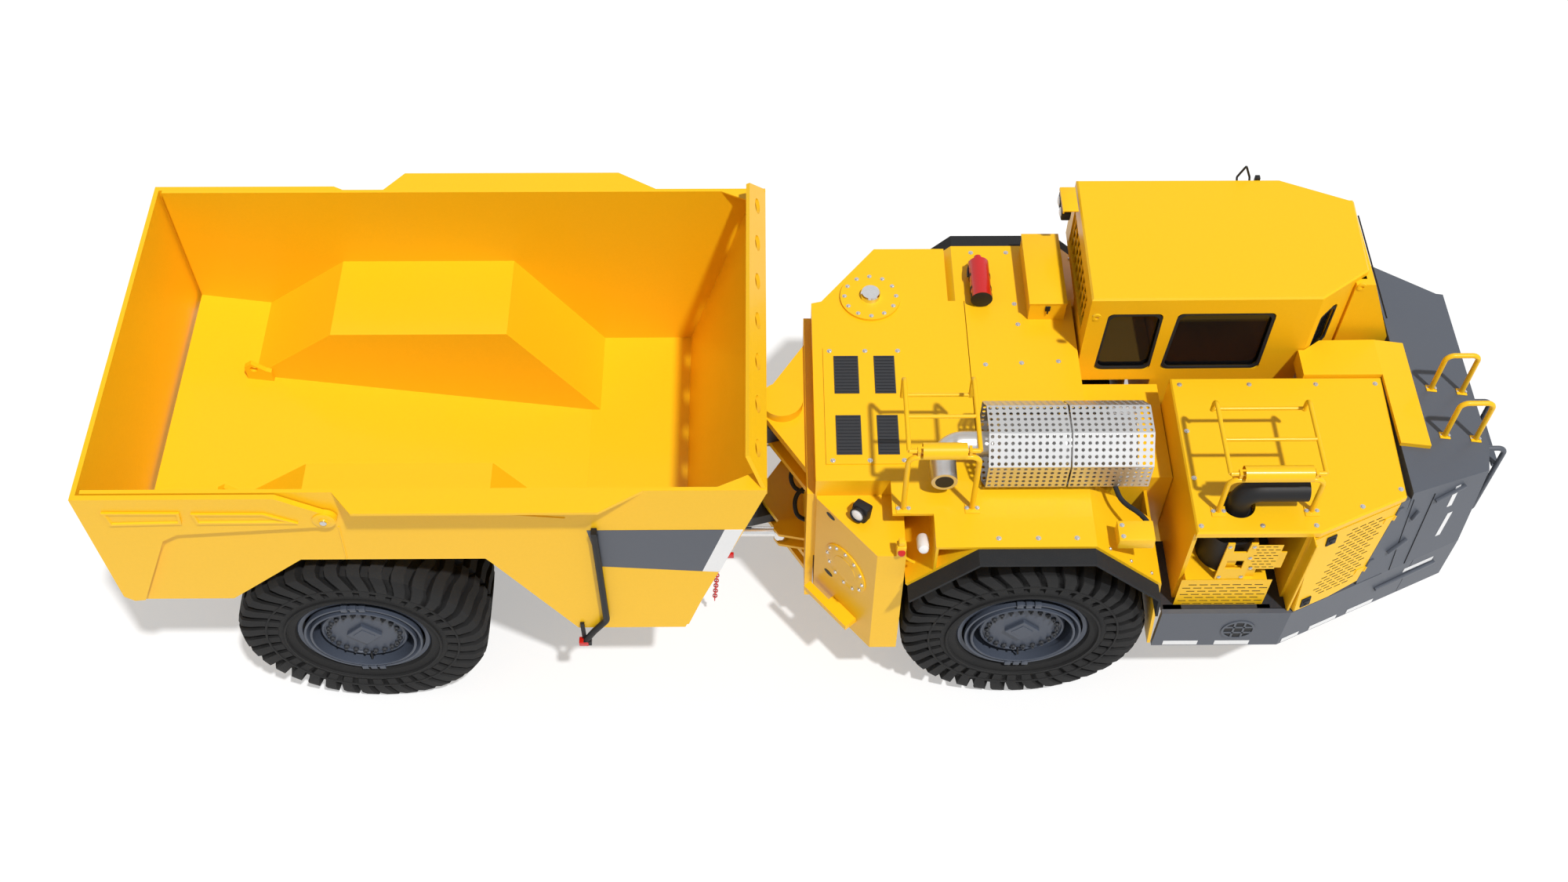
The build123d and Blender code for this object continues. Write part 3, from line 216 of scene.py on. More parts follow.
finish = {
    "yellow": paint("machine_yellow", (0.93, 0.530, 0.008), 0.36, 0.08),
    "grey": paint("blue_grey_paint", (0.090, 0.100, 0.122), 0.42, 0.08),
    "rim_grey": paint("wheel_grey_paint", (0.056, 0.067, 0.092), 0.40, 0.10),
    "dark_grey": paint("chassis_paint", (0.027, 0.029, 0.034), 0.45, 0.15, dust=0.08),
    "red": paint("red_paint", (0.55, 0.004, 0.005), 0.25, 0.6),
    "white": paint("white_stripe", (0.80, 0.80, 0.80), 0.45, 0.1, dust=0.02),
    "black": paint("black_plastic", (0.011, 0.011, 0.012), 0.5, 0.0, peel=0.06),
}
print("paints", sorted(finish))

# %% [markdown]
# Tyre rubber is nearly black and dull, and dust settles on it in patches. The sheet-metal guard over the
# silencer is bare steel brushed along its length, so its roughness changes in long thin streaks. Polished
# pipe has a fine and even grain. Window glass is dark and smeared a little, and a lamp lens is ribbed.


# %% Rubber, steel and glass
def rubber(name, base):
    """Make dull black rubber with dust in broad patches."""
    material, shader, start, place = begin(name)
    fine = noise(place, 160.0, 3.0)
    patch = start.node(
        "ValToRGB", {"stops": ((0.35, 0.0), (0.8, 1.0))}, {"Fac": noise(place, 5.0, 5.0, 0.65)},
    )
    feed(shader, (patch * 0.3).mix(base, (0.030, 0.029, 0.027)), "Base Color")
    feed(shader, 0.66 + fine * 0.25, "Roughness")
    relief(shader, fine, 0.5)
    hold(shader, {"Specular IOR Level": 0.25})
    return material


def steel(name, base, low, high, stretch):
    """Make bare metal brushed along one direction."""
    material, shader, start, place = begin(name)
    streak = noise(start.node("Mapping", None, {"Vector": place, "Scale": stretch}), 1.0, 4.0, 0.7)
    feed(shader, (streak * 0.7).mix(base, tuple(0.72 * channel for channel in base)), "Base Color")
    feed(shader, low + streak * (high - low) + noise(place, 3.0, 3.0) * 0.06, "Roughness")
    relief(shader, streak, 0.12, 0.001)
    hold(shader, {"Metallic": 1.0})
    return material


def window_glass(name, tint, alpha):
    """Make a dark tinted pane."""
    material, shader, start, place = begin(name)
    smear = noise(place, 6.0, 3.0)
    feed(shader, 0.03 + smear * 0.05, "Roughness")
    feed(shader, alpha + smear * 0.08, "Alpha")
    hold(shader, {"Base Color": (*tint, 1), "Coat Weight": 0.15, "Specular IOR Level": 0.3})
    return material


def lamp_lens(name, base, glow):
    """Make a ribbed lamp lens that glows faintly."""
    material, shader, start, place = begin(name)
    ribs = start.node("TexWave", {"bands_direction": "Z"}, {"Vector": place, "Scale": 60.0})
    feed(shader, ribs.mix(base, tuple(0.7 * channel for channel in base)), "Base Color")
    relief(shader, ribs, 0.4)
    hold(shader, {"Roughness": 0.12, "Emission Color": (*base, 1), "Emission Strength": glow})
    return material


finish["trim"] = rubber("seat_fabric", (0.036, 0.037, 0.041))
finish["tyre"] = rubber("tyre_rubber", (0.013, 0.013, 0.0135))
finish["rubber"] = rubber("fender_rubber", (0.015, 0.016, 0.018))
finish["steel"] = steel("brushed_guard_steel", (0.66, 0.66, 0.66), 0.26, 0.46, (3.0, 120.0, 120.0))
finish["chrome"] = steel("polished_steel", (0.80, 0.80, 0.80), 0.08, 0.18, (30.0, 30.0, 30.0))
finish["glass"] = window_glass("tinted_glass", (0.007, 0.008, 0.010), 0.88)
finish["lens"] = lamp_lens("lamp_lens", (0.85, 0.86, 0.88), 0.15)
finish["red_lens"] = lamp_lens("rear_lamp_lens", (0.55, 0.01, 0.01), 0.1)
print("finishes", len(finish))

# %% [markdown]
# The CAD nodes keep their shapes and take these finishes. Each node already names the material slot it
# belongs to in the record, so the finish is looked up by that name. A slot with no finish of that name
# takes the black plastic.

# %% Paint the CAD nodes
slot_of = {row["node"]: row["material_slot"] for row in frame["record"]["subparts"]}
for name, node in frame["nodes"].items():
    node.data.materials.clear()
    node.data.materials.append(finish.get(slot_of[name], finish["black"]))
print("painted", len(slot_of), "CAD nodes")

# %% [markdown]
# The stage is a white floor that keeps a light shadow under the machine and looks white to the camera and
# in mirrors. A high sun from the right and the nose side draws the shadows, and an even white world fills
# them.

# %% Stage and light
FLOOR_SIZE = 60
FLOOR_GLOW = 0.42
FILL = 0.34
SUN_TURN = (math.radians(21), math.radians(17), 0)
SUN_STRENGTH = 3.1
SUN_WIDTH = math.radians(2.5)
WHITE = (1, 1, 1, 1)


def ray(start, kind):
    """Factor that is one for one kind of ray."""
    return start.node("LightPath", None, None, f"Is {kind} Ray")


bpy.ops.object.select_all(action="DESELECT")
bpy.ops.mesh.primitive_plane_add(size=FLOOR_SIZE, location=(0, 0, 0))
floor = bpy.context.object
floor.name = "floor"
material, shader, start, place = begin("floor_white")
hold(shader, {"Base Color": (0.92, 0.92, 0.92, 1), "Roughness": 0.9})
glow = start.node("Emission", None, {"Color": WHITE, "Strength": 1.0})
factor = (ray(start, "Camera") + ray(start, "Glossy")) * FLOOR_GLOW
blend = start.node("MixShader", None, {0: factor, 1: Wire(start.tree, shader.outputs[0]), 2: glow})
start.tree.links.new(blend.socket, start.tree.nodes["Material Output"].inputs[0])
floor.data.materials.append(material)

world = bpy.data.worlds.new("studio")
bpy.context.scene.world = world
world.use_nodes = True
start = Wire(world.node_tree)
plain = world.node_tree.nodes["Background"]
hold(plain, {"Color": WHITE, "Strength": FILL})
seen = start.sum("MAXIMUM", ray(start, "Glossy") * 0.8, ray(start, "Transmission"))
seen = start.sum("MAXIMUM", ray(start, "Camera"), seen)
backdrop = start.node("Background", None, {"Color": WHITE, "Strength": 1.0})
mixed = start.node("MixShader", None, {0: seen, 1: Wire(start.tree, plain.outputs[0]), 2: backdrop})
start.tree.links.new(mixed.socket, start.tree.nodes["World Output"].inputs[0])
sun = bpy.data.objects.new("sun", bpy.data.lights.new("sun", "SUN"))
sun.data.energy = SUN_STRENGTH
sun.data.angle = SUN_WIDTH
sun.rotation_euler = SUN_TURN
bpy.context.scene.collection.objects.link(sun)
print("stage ready")

# %% [markdown]
# New pieces are modelled near the world's origin and then stood in place. Stations are metres ahead of the
# rear axle, so one helper turns a station, a side position and a height into a point of the frame. The next
# helpers do what a modeller does by hand: clear the selection, edit, place, join, apply and hang the piece
# on its body.

# %% Editing and placing
SIDES = (("right", -1), ("left", 1))


def at(x, y, z):
    """Point at a station ahead of the rear axle, a side position and a height."""
    return Vector((REAR_AXLE.x + x, y, z))


def only(piece):
    """Make one piece the whole selection."""
    bpy.ops.object.select_all(action="DESELECT")
    piece.select_set(True)
    bpy.context.view_layer.objects.active = piece


def edit(piece, chooser=None, kind="FACE"):
    """Open a piece for editing with all of its faces or edges selected, or those that a chooser picks."""
    only(piece)
    bpy.ops.object.mode_set(mode="EDIT")
    bpy.ops.mesh.select_mode(type=kind)
    if chooser is None:
        bpy.ops.mesh.select_all(action="SELECT")
        return
    bpy.ops.mesh.select_all(action="DESELECT")
    bpy.ops.object.mode_set(mode="OBJECT")
    for part in piece.data.edges if kind == "EDGE" else piece.data.polygons:
        part.select = chooser(part)
    bpy.ops.object.mode_set(mode="EDIT")


def leave(piece):
    """Turn all faces outwards and close the editing."""
    bpy.ops.mesh.select_all(action="SELECT")
    bpy.ops.mesh.normals_make_consistent(inside=False)
    bpy.ops.object.mode_set(mode="OBJECT")
    return piece


def place_by(piece, matrix):
    """Move a piece's mesh by a matrix."""
    piece.data.transform(matrix)
    piece.data.update()
    return piece


def turn_to(direction):
    """Rotation that takes the upward direction to another one."""
    return Vector(direction).normalized().to_track_quat("Z", "Y").to_matrix().to_4x4()


def stand(piece, centre, direction=(0, 0, 1)):
    """Turn a piece's own upward direction to another one and move it to its place."""
    return place_by(piece, Matrix.Translation(centre) @ turn_to(direction))


def join(pieces):
    """Join several pieces into the first."""
    bpy.ops.object.select_all(action="DESELECT")
    for piece in pieces:
        piece.select_set(True)
    bpy.context.view_layer.objects.active = pieces[0]
    if len(pieces) > 1:
        bpy.ops.object.join()
    return bpy.context.object


def copies(piece, matrices):
    """Copy a piece to each place and join the copies into one piece."""
    made = []
    for matrix in matrices:
        copy = piece.copy()
        copy.data = piece.data.copy()
        copy.data.transform(matrix)
        bpy.context.scene.collection.objects.link(copy)
        made.append(copy)
    bpy.data.objects.remove(piece)
    return join(made)


def modify(piece, kind, **settings):
    """Apply one modifier with its settings."""
    only(piece)
    tool = piece.modifiers.new("tool", kind)
    for name, value in settings.items():
        setattr(tool, name, value)
    bpy.ops.object.modifier_apply(modifier="tool")
    return piece


def settle(piece, name, body, look, smooth=30):
    """Apply a piece's place, shade and paint it, and hang it on its body."""
    only(piece)
    bpy.ops.object.transform_apply(location=True, rotation=True, scale=True)
    if smooth:
        bpy.ops.object.shade_smooth_by_angle(angle=math.radians(smooth))
    piece.name = name
    piece.data.name = name
    piece.data.materials.clear()
    piece.data.materials.append(finish[look])
    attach(piece, body)
    return piece


print("rear axle at", tuple(round(v, 3) for v in REAR_AXLE))

# %% [markdown]
# A handful of shapes makes every fitting: a bevelled block, a turned solid, a closed ring, a flat plate of
# any outline, a round rod along a line, and a bolt with its washer. Turned solids and rings both start as a
# circle that is extruded from one radius and height to the next.


# %% Basic shapes
def slab(centre, size, bevel=0.003, turn=None):
    """Box with bevelled edges, turned about its centre if wanted."""
    bpy.ops.object.select_all(action="DESELECT")
    bpy.ops.mesh.primitive_cube_add(size=1, location=(0, 0, 0))
    piece = place_by(bpy.context.object, Matrix.Diagonal((*size, 1)))
    if bevel:
        edit(piece)
        bpy.ops.mesh.bevel(offset=bevel, segments=2, affect="EDGES")
        leave(piece)
    return place_by(piece, Matrix.Translation(centre) @ (turn or Matrix.Identity(4)))


def blocks(*rows):
    """Blocks joined into one piece, each from its (station, side, height), its size and its bevel."""
    return join([slab(at(*place), size, bevel) for place, size, bevel in rows])


def circle(count, radius, fill="NOTHING"):
    """Circle of corners about z, with or without a face."""
    bpy.ops.object.select_all(action="DESELECT")
    bpy.ops.mesh.primitive_circle_add(vertices=count, radius=radius, fill_type=fill, location=(0, 0, 0))
    return bpy.context.object


def follow(outline):
    """Extrude the selected circle from one (radius, height) pair to the next."""
    for (radius, height), (next_radius, next_height) in zip(outline, outline[1:]):
        bpy.ops.mesh.extrude_region_move(TRANSFORM_OT_translate={"value": (0, 0, next_height - height)})
        ratio = next_radius / radius
        bpy.ops.transform.resize(value=(ratio, ratio, 1), center_override=(0, 0, next_height))


def turned(outline, segments=32):
    """Solid of revolution about z from (radius, height) pairs."""
    piece = place_by(circle(segments, outline[0][0], "NGON"), Matrix.Translation((0, 0, outline[0][1])))
    edit(piece)
    follow(outline)
    return leave(piece)


def ring_body(outline, segments):
    """Closed ring about z from a closed (radius, height) outline."""
    piece = place_by(circle(segments, outline[0][0]), Matrix.Translation((0, 0, outline[0][1])))
    edit(piece, kind="EDGE")
    follow((*outline, outline[0]))
    bpy.ops.mesh.select_all(action="SELECT")
    bpy.ops.mesh.remove_doubles(threshold=0.0005)
    return leave(piece)


def sheet_of(corners, thickness, bevel=0.0):
    """Flat plate in x and y with any outline, its top at the thickness."""
    piece = circle(len(corners), 1, "NGON")
    for vertex, corner in zip(piece.data.vertices, corners):
        vertex.co = (*corner, 0)
    edit(piece)
    bpy.ops.mesh.extrude_region_move(TRANSFORM_OT_translate={"value": (0, 0, thickness)})
    if bevel:
        bpy.ops.mesh.select_all(action="SELECT")
        bpy.ops.mesh.bevel(offset=bevel, segments=1, affect="EDGES")
    return leave(piece)


def rectangle(x0, y0, x1, y1):
    """Corners of an upright rectangle."""
    return ((x0, y0), (x1, y0), (x1, y1), (x0, y1))


def rod(points, radius, order=2):
    """Round rod or hose along a line of points."""
    data = bpy.data.curves.new("rod", "CURVE")
    data.dimensions = "3D"
    line = data.splines.new("NURBS")
    line.points.add(len(points) - 1)
    for point, value in zip(line.points, points):
        point.co = (*value, 1)
    line.order_u = order
    line.use_endpoint_u = True
    data.bevel_depth = radius
    data.bevel_resolution = 3
    data.resolution_u = 8
    data.use_fill_caps = True
    piece = bpy.data.objects.new("rod", data)
    bpy.context.scene.collection.objects.link(piece)
    only(piece)
    bpy.ops.object.convert(target="MESH")
    return bpy.context.object


def cut(piece, cutter):
    """Take a cutter away from a piece."""
    modify(piece, "BOOLEAN", operation="DIFFERENCE", solver="EXACT", object=cutter)
    bpy.data.objects.remove(cutter)
    return piece


def bolts(name, body, spots, direction=(0, 0, 1), radius=0.013, look="steel"):
    """Row of hexagon bolt heads on washers."""
    head = turned([(radius, 0.002), (radius, radius * 0.8), (radius * 0.8, radius)], 6)
    washer = turned([(radius * 1.5, 0), (radius * 1.5, 0.003)], 14)
    places = [Matrix.Translation(spot) @ turn_to(direction) for spot in spots]
    return settle(copies(join([head, washer]), places), name, body, look)


def circle_of(count, radius, start=0.0):
    """Matrices that move a thing out and turn it round z, evenly."""
    steps = [start + 2 * math.pi * k / count for k in range(count)]
    return [Matrix.Rotation(a, 4, "Z") @ Matrix.Translation((radius, 0, 0)) for a in steps]


print("places round a circle", len(circle_of(12, 1)))

# %% [markdown]
# An earthmover tyre has a plain dull sidewall and deep curved lugs that start at the middle of the tread
# and run out over the shoulder. One lug is a box cut across into seven lengths, and its eight
# cross-sections are moved onto the curve. Thirty-six copies make one side. The carcass is a closed ring,
# and two thin rings mark the sidewall.

# %% Tyres
CARCASS = (
    (0.500, -0.300), (0.520, -0.350), (0.600, -0.368), (0.640, -0.366), (0.655, -0.346), (0.740, -0.342),
    (0.800, -0.338), (0.858, -0.318), (0.880, -0.240), (0.886, 0.0), (0.880, 0.240), (0.858, 0.318),
    (0.800, 0.338), (0.740, 0.342), (0.655, 0.346), (0.640, 0.366), (0.600, 0.368), (0.520, 0.350),
    (0.500, 0.300), (0.455, 0.280), (0.455, -0.280),
)
BEAD_RING = ((0.600, 0.366), (0.600, 0.382), (0.585, 0.385), (0.580, 0.366))
WALL_RING = ((0.740, 0.370), (0.738, 0.379), (0.725, 0.380), (0.722, 0.370))
# One lug: outer side position and radius, inner ones, turn round the axle in degrees, half width in metres
LUG = (
    (0.010, 0.950, 0.010, 0.870, 0.0, 0.041), (0.120, 0.950, 0.120, 0.870, 0.6, 0.043),
    (0.220, 0.949, 0.220, 0.870, 3.8, 0.045), (0.310, 0.945, 0.300, 0.865, 4.8, 0.047),
    (0.356, 0.918, 0.320, 0.840, 4.2, 0.048), (0.376, 0.860, 0.325, 0.810, 2.0, 0.046),
    (0.377, 0.760, 0.330, 0.750, -0.6, 0.040), (0.369, 0.640, 0.340, 0.650, -1.2, 0.034),
)
LUGS = 36
LUG_STEP = 2 * math.pi / LUGS
LUG_TAPER = 1.04
WHEELS = [(axle, side, sign) for axle in ("rear", "front") for side, sign in SIDES]


def lug():
    """One curved lug on the outside of the ring, on its positive side."""
    bpy.ops.object.select_all(action="DESELECT")
    bpy.ops.mesh.primitive_cube_add(size=1, location=(0, 0, 0))
    piece = bpy.context.object

    def lengthwise(edge):
        low, high = (piece.data.vertices[i].co for i in edge.vertices)
        return abs(low.z - high.z) > 0.5

    edit(piece, lengthwise, "EDGE")
    bpy.ops.mesh.subdivide(number_cuts=len(LUG) - 2)
    bpy.ops.object.mode_set(mode="OBJECT")
    for vertex in piece.data.vertices:
        row = LUG[round((vertex.co.z + 0.5) * (len(LUG) - 1))]
        side, radius = row[:2] if vertex.co.x > 0 else row[2:4]
        width = row[5] if vertex.co.x > 0 else row[5] * LUG_TAPER
        angle = math.radians(row[4]) + math.copysign(width / row[1], vertex.co.y)
        vertex.co = (radius * math.cos(angle), radius * math.sin(angle), side)
    edit(piece)
    return leave(piece)


other_half = Matrix.Rotation(math.pi, 4, "X") @ Matrix.Rotation(LUG_STEP / 2, 4, "Z")
lug_places = [
    half @ Matrix.Rotation(k * LUG_STEP, 4, "Z") for half in (
        Matrix.Identity(4), other_half,
    ) for k in range(LUGS)
]
for axle, side, sign in WHEELS:
    low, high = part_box(f"tyre_{axle}_{side}")
    tyre = join([
        ring_body(CARCASS, 96), copies(lug(), lug_places), ring_body(BEAD_RING, 72),
        ring_body(WALL_RING, 72),
    ])
    stand(tyre, (low + high) / 2, (0, sign, 0))
    settle(tyre, f"tread_{axle}_{side}", f"wheel_{axle}_{side}", "tyre", 35)
    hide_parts(f"tyre_{axle}_{side}")
print("tyre faces", len(tyre.data.polygons))

# %% [markdown]
# The hub end is a planetary housing. It carries a ring of studs near its rim, a shallow round cover and
# a square drain plate turned on its corner. The rim has a lock ring, a valve and two groups of three short
# welded cleats.

# %% Hubs
HUB_OUT = 1.366
RING_OUT = 1.378
HUB_COVER = (
    (0.330, -0.020), (0.330, 0.010), (0.322, 0.020), (0.306, 0.022), (0.302, 0.010), (0.285, 0.012),
)
RIM_EDGE = ((0.468, -0.02), (0.512, -0.02), (0.514, 0.012), (0.500, 0.026), (0.468, 0.020))
LOCK_RING = ((0.386, 0.000), (0.404, 0.000), (0.404, 0.066), (0.392, 0.070), (0.386, 0.066))


def diamond(reach, thickness, bevel, lift):
    """Square plate turned on its corner and lifted."""
    corners = ((reach, 0), (0, reach), (-reach, 0), (0, -reach))
    return place_by(sheet_of(corners, thickness, bevel), Matrix.Translation((0, 0, lift)))


for axle, side, sign in WHEELS:
    body = f"wheel_{axle}_{side}"
    out = (0, sign, 0)
    low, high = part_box(f"rim_{axle}_{side}")
    middle = (low + high) / 2
    hub_face = Vector((middle.x, sign * HUB_OUT, middle.z))
    rim_face = Vector((middle.x, sign * RING_OUT, middle.z))
    cover = join(
        [turned(HUB_COVER, 64), diamond(0.137, 0.032, 0.004, 0.008), diamond(0.086, 0.006, 0.002, 0.038)]
    )
    settle(stand(cover, hub_face, out), f"hub_cover_{axle}_{side}", body, "rim_grey")
    stud = join([
        turned([(0.021, 0), (0.021, 0.016), (0.014, 0.026)], 12),
        turned([(0.009, 0.02), (0.009, 0.040)], 8),
    ])
    studs = stand(copies(stud, circle_of(22, 0.272)), hub_face + 0.008 * Vector(out), out)
    settle(studs, f"hub_studs_{axle}_{side}", body, "dark_grey")
    rings = join([ring_body(RIM_EDGE, 96), ring_body(LOCK_RING, 96)])
    settle(stand(rings, rim_face, out), f"lock_ring_{axle}_{side}", body, "rim_grey")
    tooth = join([slab((0, 0.068 * k, 0.045), (0.050, 0.050, 0.045), 0.004) for k in (-1, 0, 1)])
    teeth = copies(tooth, circle_of(2, 0.440, math.radians(90)))
    settle(stand(teeth, rim_face, out), f"rim_cleats_{axle}_{side}", body, "rim_grey")
    valve = rod([(0.0, -0.30, 0.0), (0.0, -0.30, 0.03), (0.004, -0.345, 0.045)], 0.009)
    settle(stand(valve, hub_face, out), f"valve_{axle}_{side}", body, "black")
print("hubs at", tuple(round(v, 3) for v in hub_face))

# %% [markdown]
# The guard over the silencer is sheet steel folded into eight flats and punched with round holes. One cell
# of the sheet is a square frame round an eight-sided hole. A grid of cells makes a flat, and eight turned
# flats make one length of the guard. It has two lengths with a narrow joint. The real holes let the dark
# silencer show through.

# %% Punched silencer guard
GUARD_CELL = 0.0490
GUARD_CELLS = 12
GUARD_HOLE = 0.0135
GUARD_FLAT = 0.300
GUARD_LENGTH = 0.602
GUARD_AXIS = (-0.680, 2.440)
guard_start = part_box("heat_shield")[0].x


def punched_cell(size, hole):
    """Square cell of sheet with an eight-sided hole."""
    cell = circle(8, hole)
    edit(cell, kind="EDGE")
    bpy.ops.mesh.extrude_region_move(TRANSFORM_OT_translate={"value": (0, 0, 0)})
    bpy.ops.transform.resize(value=(1.2, 1.2, 1))
    bpy.ops.object.mode_set(mode="OBJECT")
    for vertex in cell.data.vertices:
        if vertex.co.length > hole * 1.1:
            vertex.co *= size / 2 / max(abs(vertex.co.x), abs(vertex.co.y))
            vertex.co.x = round(vertex.co.x / size * 2) * size / 2
            vertex.co.y = round(vertex.co.y / size * 2) * size / 2
    return cell


flat_width = 2 * GUARD_FLAT * math.tan(math.radians(22.5))
rows = round(flat_width / GUARD_CELL)
row_step = flat_width / rows
cell = place_by(punched_cell(GUARD_CELL, GUARD_HOLE), Matrix.Diagonal((1, row_step / GUARD_CELL, 1, 1)))
spots = [
    (
        (c + 0.5) * GUARD_CELL, (r + 0.5 - rows / 2) * row_step, GUARD_FLAT,
    ) for c in range(GUARD_CELLS) for r in range(rows)
]
grid = copies(cell, [Matrix.Translation(spot) for spot in spots])
flats = copies(grid, [Matrix.Rotation(math.radians(45 * k), 4, "X") for k in range(8)])
guard = copies(flats, [Matrix.Translation((guard_start + k * GUARD_LENGTH, *GUARD_AXIS)) for k in (0, 1)])
edit(guard)
bpy.ops.mesh.remove_doubles(threshold=0.0004)
modify(leave(guard), "SOLIDIFY", thickness=0.005, offset=-1)
edit(guard)
leave(guard)
feet = [slab(at(x, y, 2.19), (0.060, 0.030, 0.11)) for x in (4.88, 5.48) for y in (-0.55, -0.81)]
guard = settle(join([guard, *feet]), "punched_guard", "front_unit", "steel", 20)
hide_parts("heat_shield")
print("guard faces", len(guard.data.polygons), "rows on a flat", rows)

# %% [markdown]
# Louvred panels are thin sheet with rows of short slots, shifted by half a step from row to row. The sheet
# is a flat outline with thickness, and one cutter made of all the slots is taken away from it. A matt black
# sheet sits just behind as painted shade for the dark inside of the panel, so the slots read as dark. A
# wall's own x is the station. Its own y is the height on the right side and runs downwards on the left
# side.
# The two slotted sheets of the bay lie on planes that keep the frame's own x.


# %% Slotted panels
def basis(origin, along, outward):
    """Matrix whose x runs along a sheet and whose z points out of it."""
    z = Vector(outward).normalized()
    x = Vector(along).normalized()
    return Matrix.Translation(origin) @ Matrix((x, z.cross(x), z)).transposed().to_4x4()


def wall(y, sign=-1):
    """Matrix that stands a flat outline up at a side position, facing right or left."""
    return basis(at(0, y, 0), (1, 0, 0), (0, sign, 0))


def on_wall(points, sign):
    """Stations and heights as the flat outline of a wall, whose own y runs downwards on the left side."""
    return [(x, -sign * z) for x, z in points]


def corner_turn(first, second, third):
    """Number above zero where a way over three flat points turns left."""
    (ax, ay), (bx, by), (cx, cy) = first[:2], second[:2], third[:2]
    return (bx - ax) * (cy - ay) - (by - ay) * (cx - ax)


def inside(point, corners, margin):
    """True where a point lies inside a convex outline listed anticlockwise, by a margin."""
    edges = zip(corners, (*corners[1:], corners[0]))
    return all(corner_turn(a, b, point) / math.dist(a, b) >= margin for a, b in edges)


def slot_spots(rows, columns, start, pitch, shift, field, margin, drift=0.0):
    """Middles of the slots that lie inside a field, every second row shifted along."""
    spots = []
    for row in range(rows):
        for column in range(columns):
            along = start[0] + pitch[0] * column + shift * (row % 2) + drift * row
            spots.append((along, start[1] + pitch[1] * row))
    return [spot for spot in spots if inside(spot, field, margin)]


def slotted(name, body, corners, spots, size, matrix):
    """Slotted sheet on a black sheet of painted shade, placed by a matrix."""
    thickness = 0.0022
    cutter = slab((0, 0, 0), (*size, thickness * 8), 0)
    cutter = copies(cutter, [Matrix.Translation((u, v, thickness)) for u, v in spots])
    plate = place_by(cut(sheet_of(corners, thickness), cutter), matrix @ Matrix.Translation((0, 0, 0.0014)))
    # Black sheet behind the slots: painted shade for the dark inside of the panel.
    shade_sheet = place_by(sheet_of(corners, 0.0006), matrix @ Matrix.Translation((0, 0, 0.0004)))
    settle(shade_sheet, name + "_liner", body, "black", 0)
    settle(plate, name, body, "yellow", 0)
    print(name, "slots", len(spots))


SIDE_TURN = math.radians(24.4)
SIDE_LEAN = 0.105 / 0.955
SIDE_ALONG = (math.cos(SIDE_TURN), math.sin(SIDE_TURN), 0)
side_plane = basis(
    at(7.110, -1.450, 1.285), SIDE_ALONG, (math.sin(SIDE_TURN), -math.cos(SIDE_TURN), SIDE_LEAN),
)
door_corners = ((0.020, 0.016), (0.330, 0.016), (0.586, 0.064), (0.778, 0.880), (0.020, 0.880))
slot_field = ((0.100, 0.150), (0.300, 0.050), (0.545, 0.110), (0.715, 0.860), (0.330, 0.860))
spots = slot_spots(21, 12, (0.06, 0.085), (0.072, 0.038), 0.036, slot_field, 0.030, 0.004)
slotted("side_door_sheet", "side_door", door_corners, spots, (0.054, 0.014), side_plane)
latch = [slab((0, 0, 0.008), (0.085, 0.095, 0.012)), slab((0, 0.012, 0.016), (0.055, 0.020, 0.010))]
latch.append(place_by(turned([(0.012, 0), (0.012, 0.006)], 12), Matrix.Translation((0, -0.025, 0.012))))
places = [side_plane @ Matrix.Translation((u, v, 0)) for u, v in ((0.175, 0.800), (0.105, 0.090))]
settle(copies(join(latch), places), "side_door_latches", "side_door", "black")

x0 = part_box("bay_box")[0].x - 0.030
corners = rectangle(x0, 1.200, at(6.900, 0, 0).x, 1.632)
spots = slot_spots(9, 8, (x0 + 0.055, 1.240), (0.083, 0.046), 0.040, corners, 0.034)
bay_plane = basis((0, -1.3605, 0), (1, 0, 0), (0, -1, 0))
slotted("bay_box_sheet", "front_unit", corners, spots, (0.062, 0.015), bay_plane)
fork = (
    (6.462, 1.632), (6.680, 1.632), (6.690, 2.120), (6.640, 2.120),
    (6.630, 2.000), (6.530, 2.000), (6.520, 2.120), (6.470, 2.120),
)
bracket = cut(sheet_of(fork, 0.012), slab((6.572, 1.835, 0), (0.125, 0.110, 0.1), 0))
settle(place_by(bracket, wall(-1.345)), "bay_bracket", "front_unit", "yellow", 0)
x0 = at(6.660, 0, 0).x
corners = rectangle(x0, 1.770, at(6.880, 0, 0).x, 2.095)
spots = slot_spots(8, 4, (x0 + 0.035, 1.797), (0.052, 0.039), 0.026, corners, 0.018)
cover_plane = basis((0, -1.350, 0), (1, 0, 0), (0, -1, 0))
slotted("bay_cover_sheet", "front_unit", corners, spots, (0.036, 0.013), cover_plane)
spots = ((6.49, 2.08), (6.668, 2.08), (6.668, 1.93), (6.49, 1.67), (6.655, 1.67), (6.70, 1.79))
bolts("bay_bolts", "front_unit", [at(x, -1.358, z) for x, z in spots], (0, -1, 0), 0.010)

# %% [markdown]
# Deck plates and covers are held by rows of hexagon bolts. Each row is a list of places, so a bolt is
# modelled once. The filler has a ring of twelve bolts and a bright cap, and the dark grids in the deck are
# slatted.

# %% Deck, hood and fender hardware
DECK = 2.240
HOOD_SPOTS = (
    (6.285, 0.013), (6.82, 0.012), (7.332, 0.012), (7.79, 0.014), (6.277, -0.427), (6.268, -0.856),
    (6.257, -1.278), (6.703, -1.279), (7.093, -1.279), (7.462, -1.117), (7.775, -0.966),
)
MID_SPOTS = ((4.79, 0.83), (5.09, 0.83), (4.814, 0.219), (5.094, 0.233), (5.381, 0.247), (5.10, 0.62))
SLATS = 12
filler = at(3.950, 0.900, DECK + 0.022)
bolts("filler_bolts", "front_unit", [filler + m.translation for m in circle_of(12, 0.205)], radius=0.012)
cap = turned([(0.078, 0), (0.078, 0.040), (0.070, 0.052), (0.030, 0.056)], 40)
settle(stand(cap, filler), "filler_cap", "front_unit", "chrome")
bolts(
    "deck_bolts", "front_unit",
    [at(x, y, DECK + 0.010) for x in (3.61, 3.886, 4.14) for y in (-0.690, 0.350)],
)
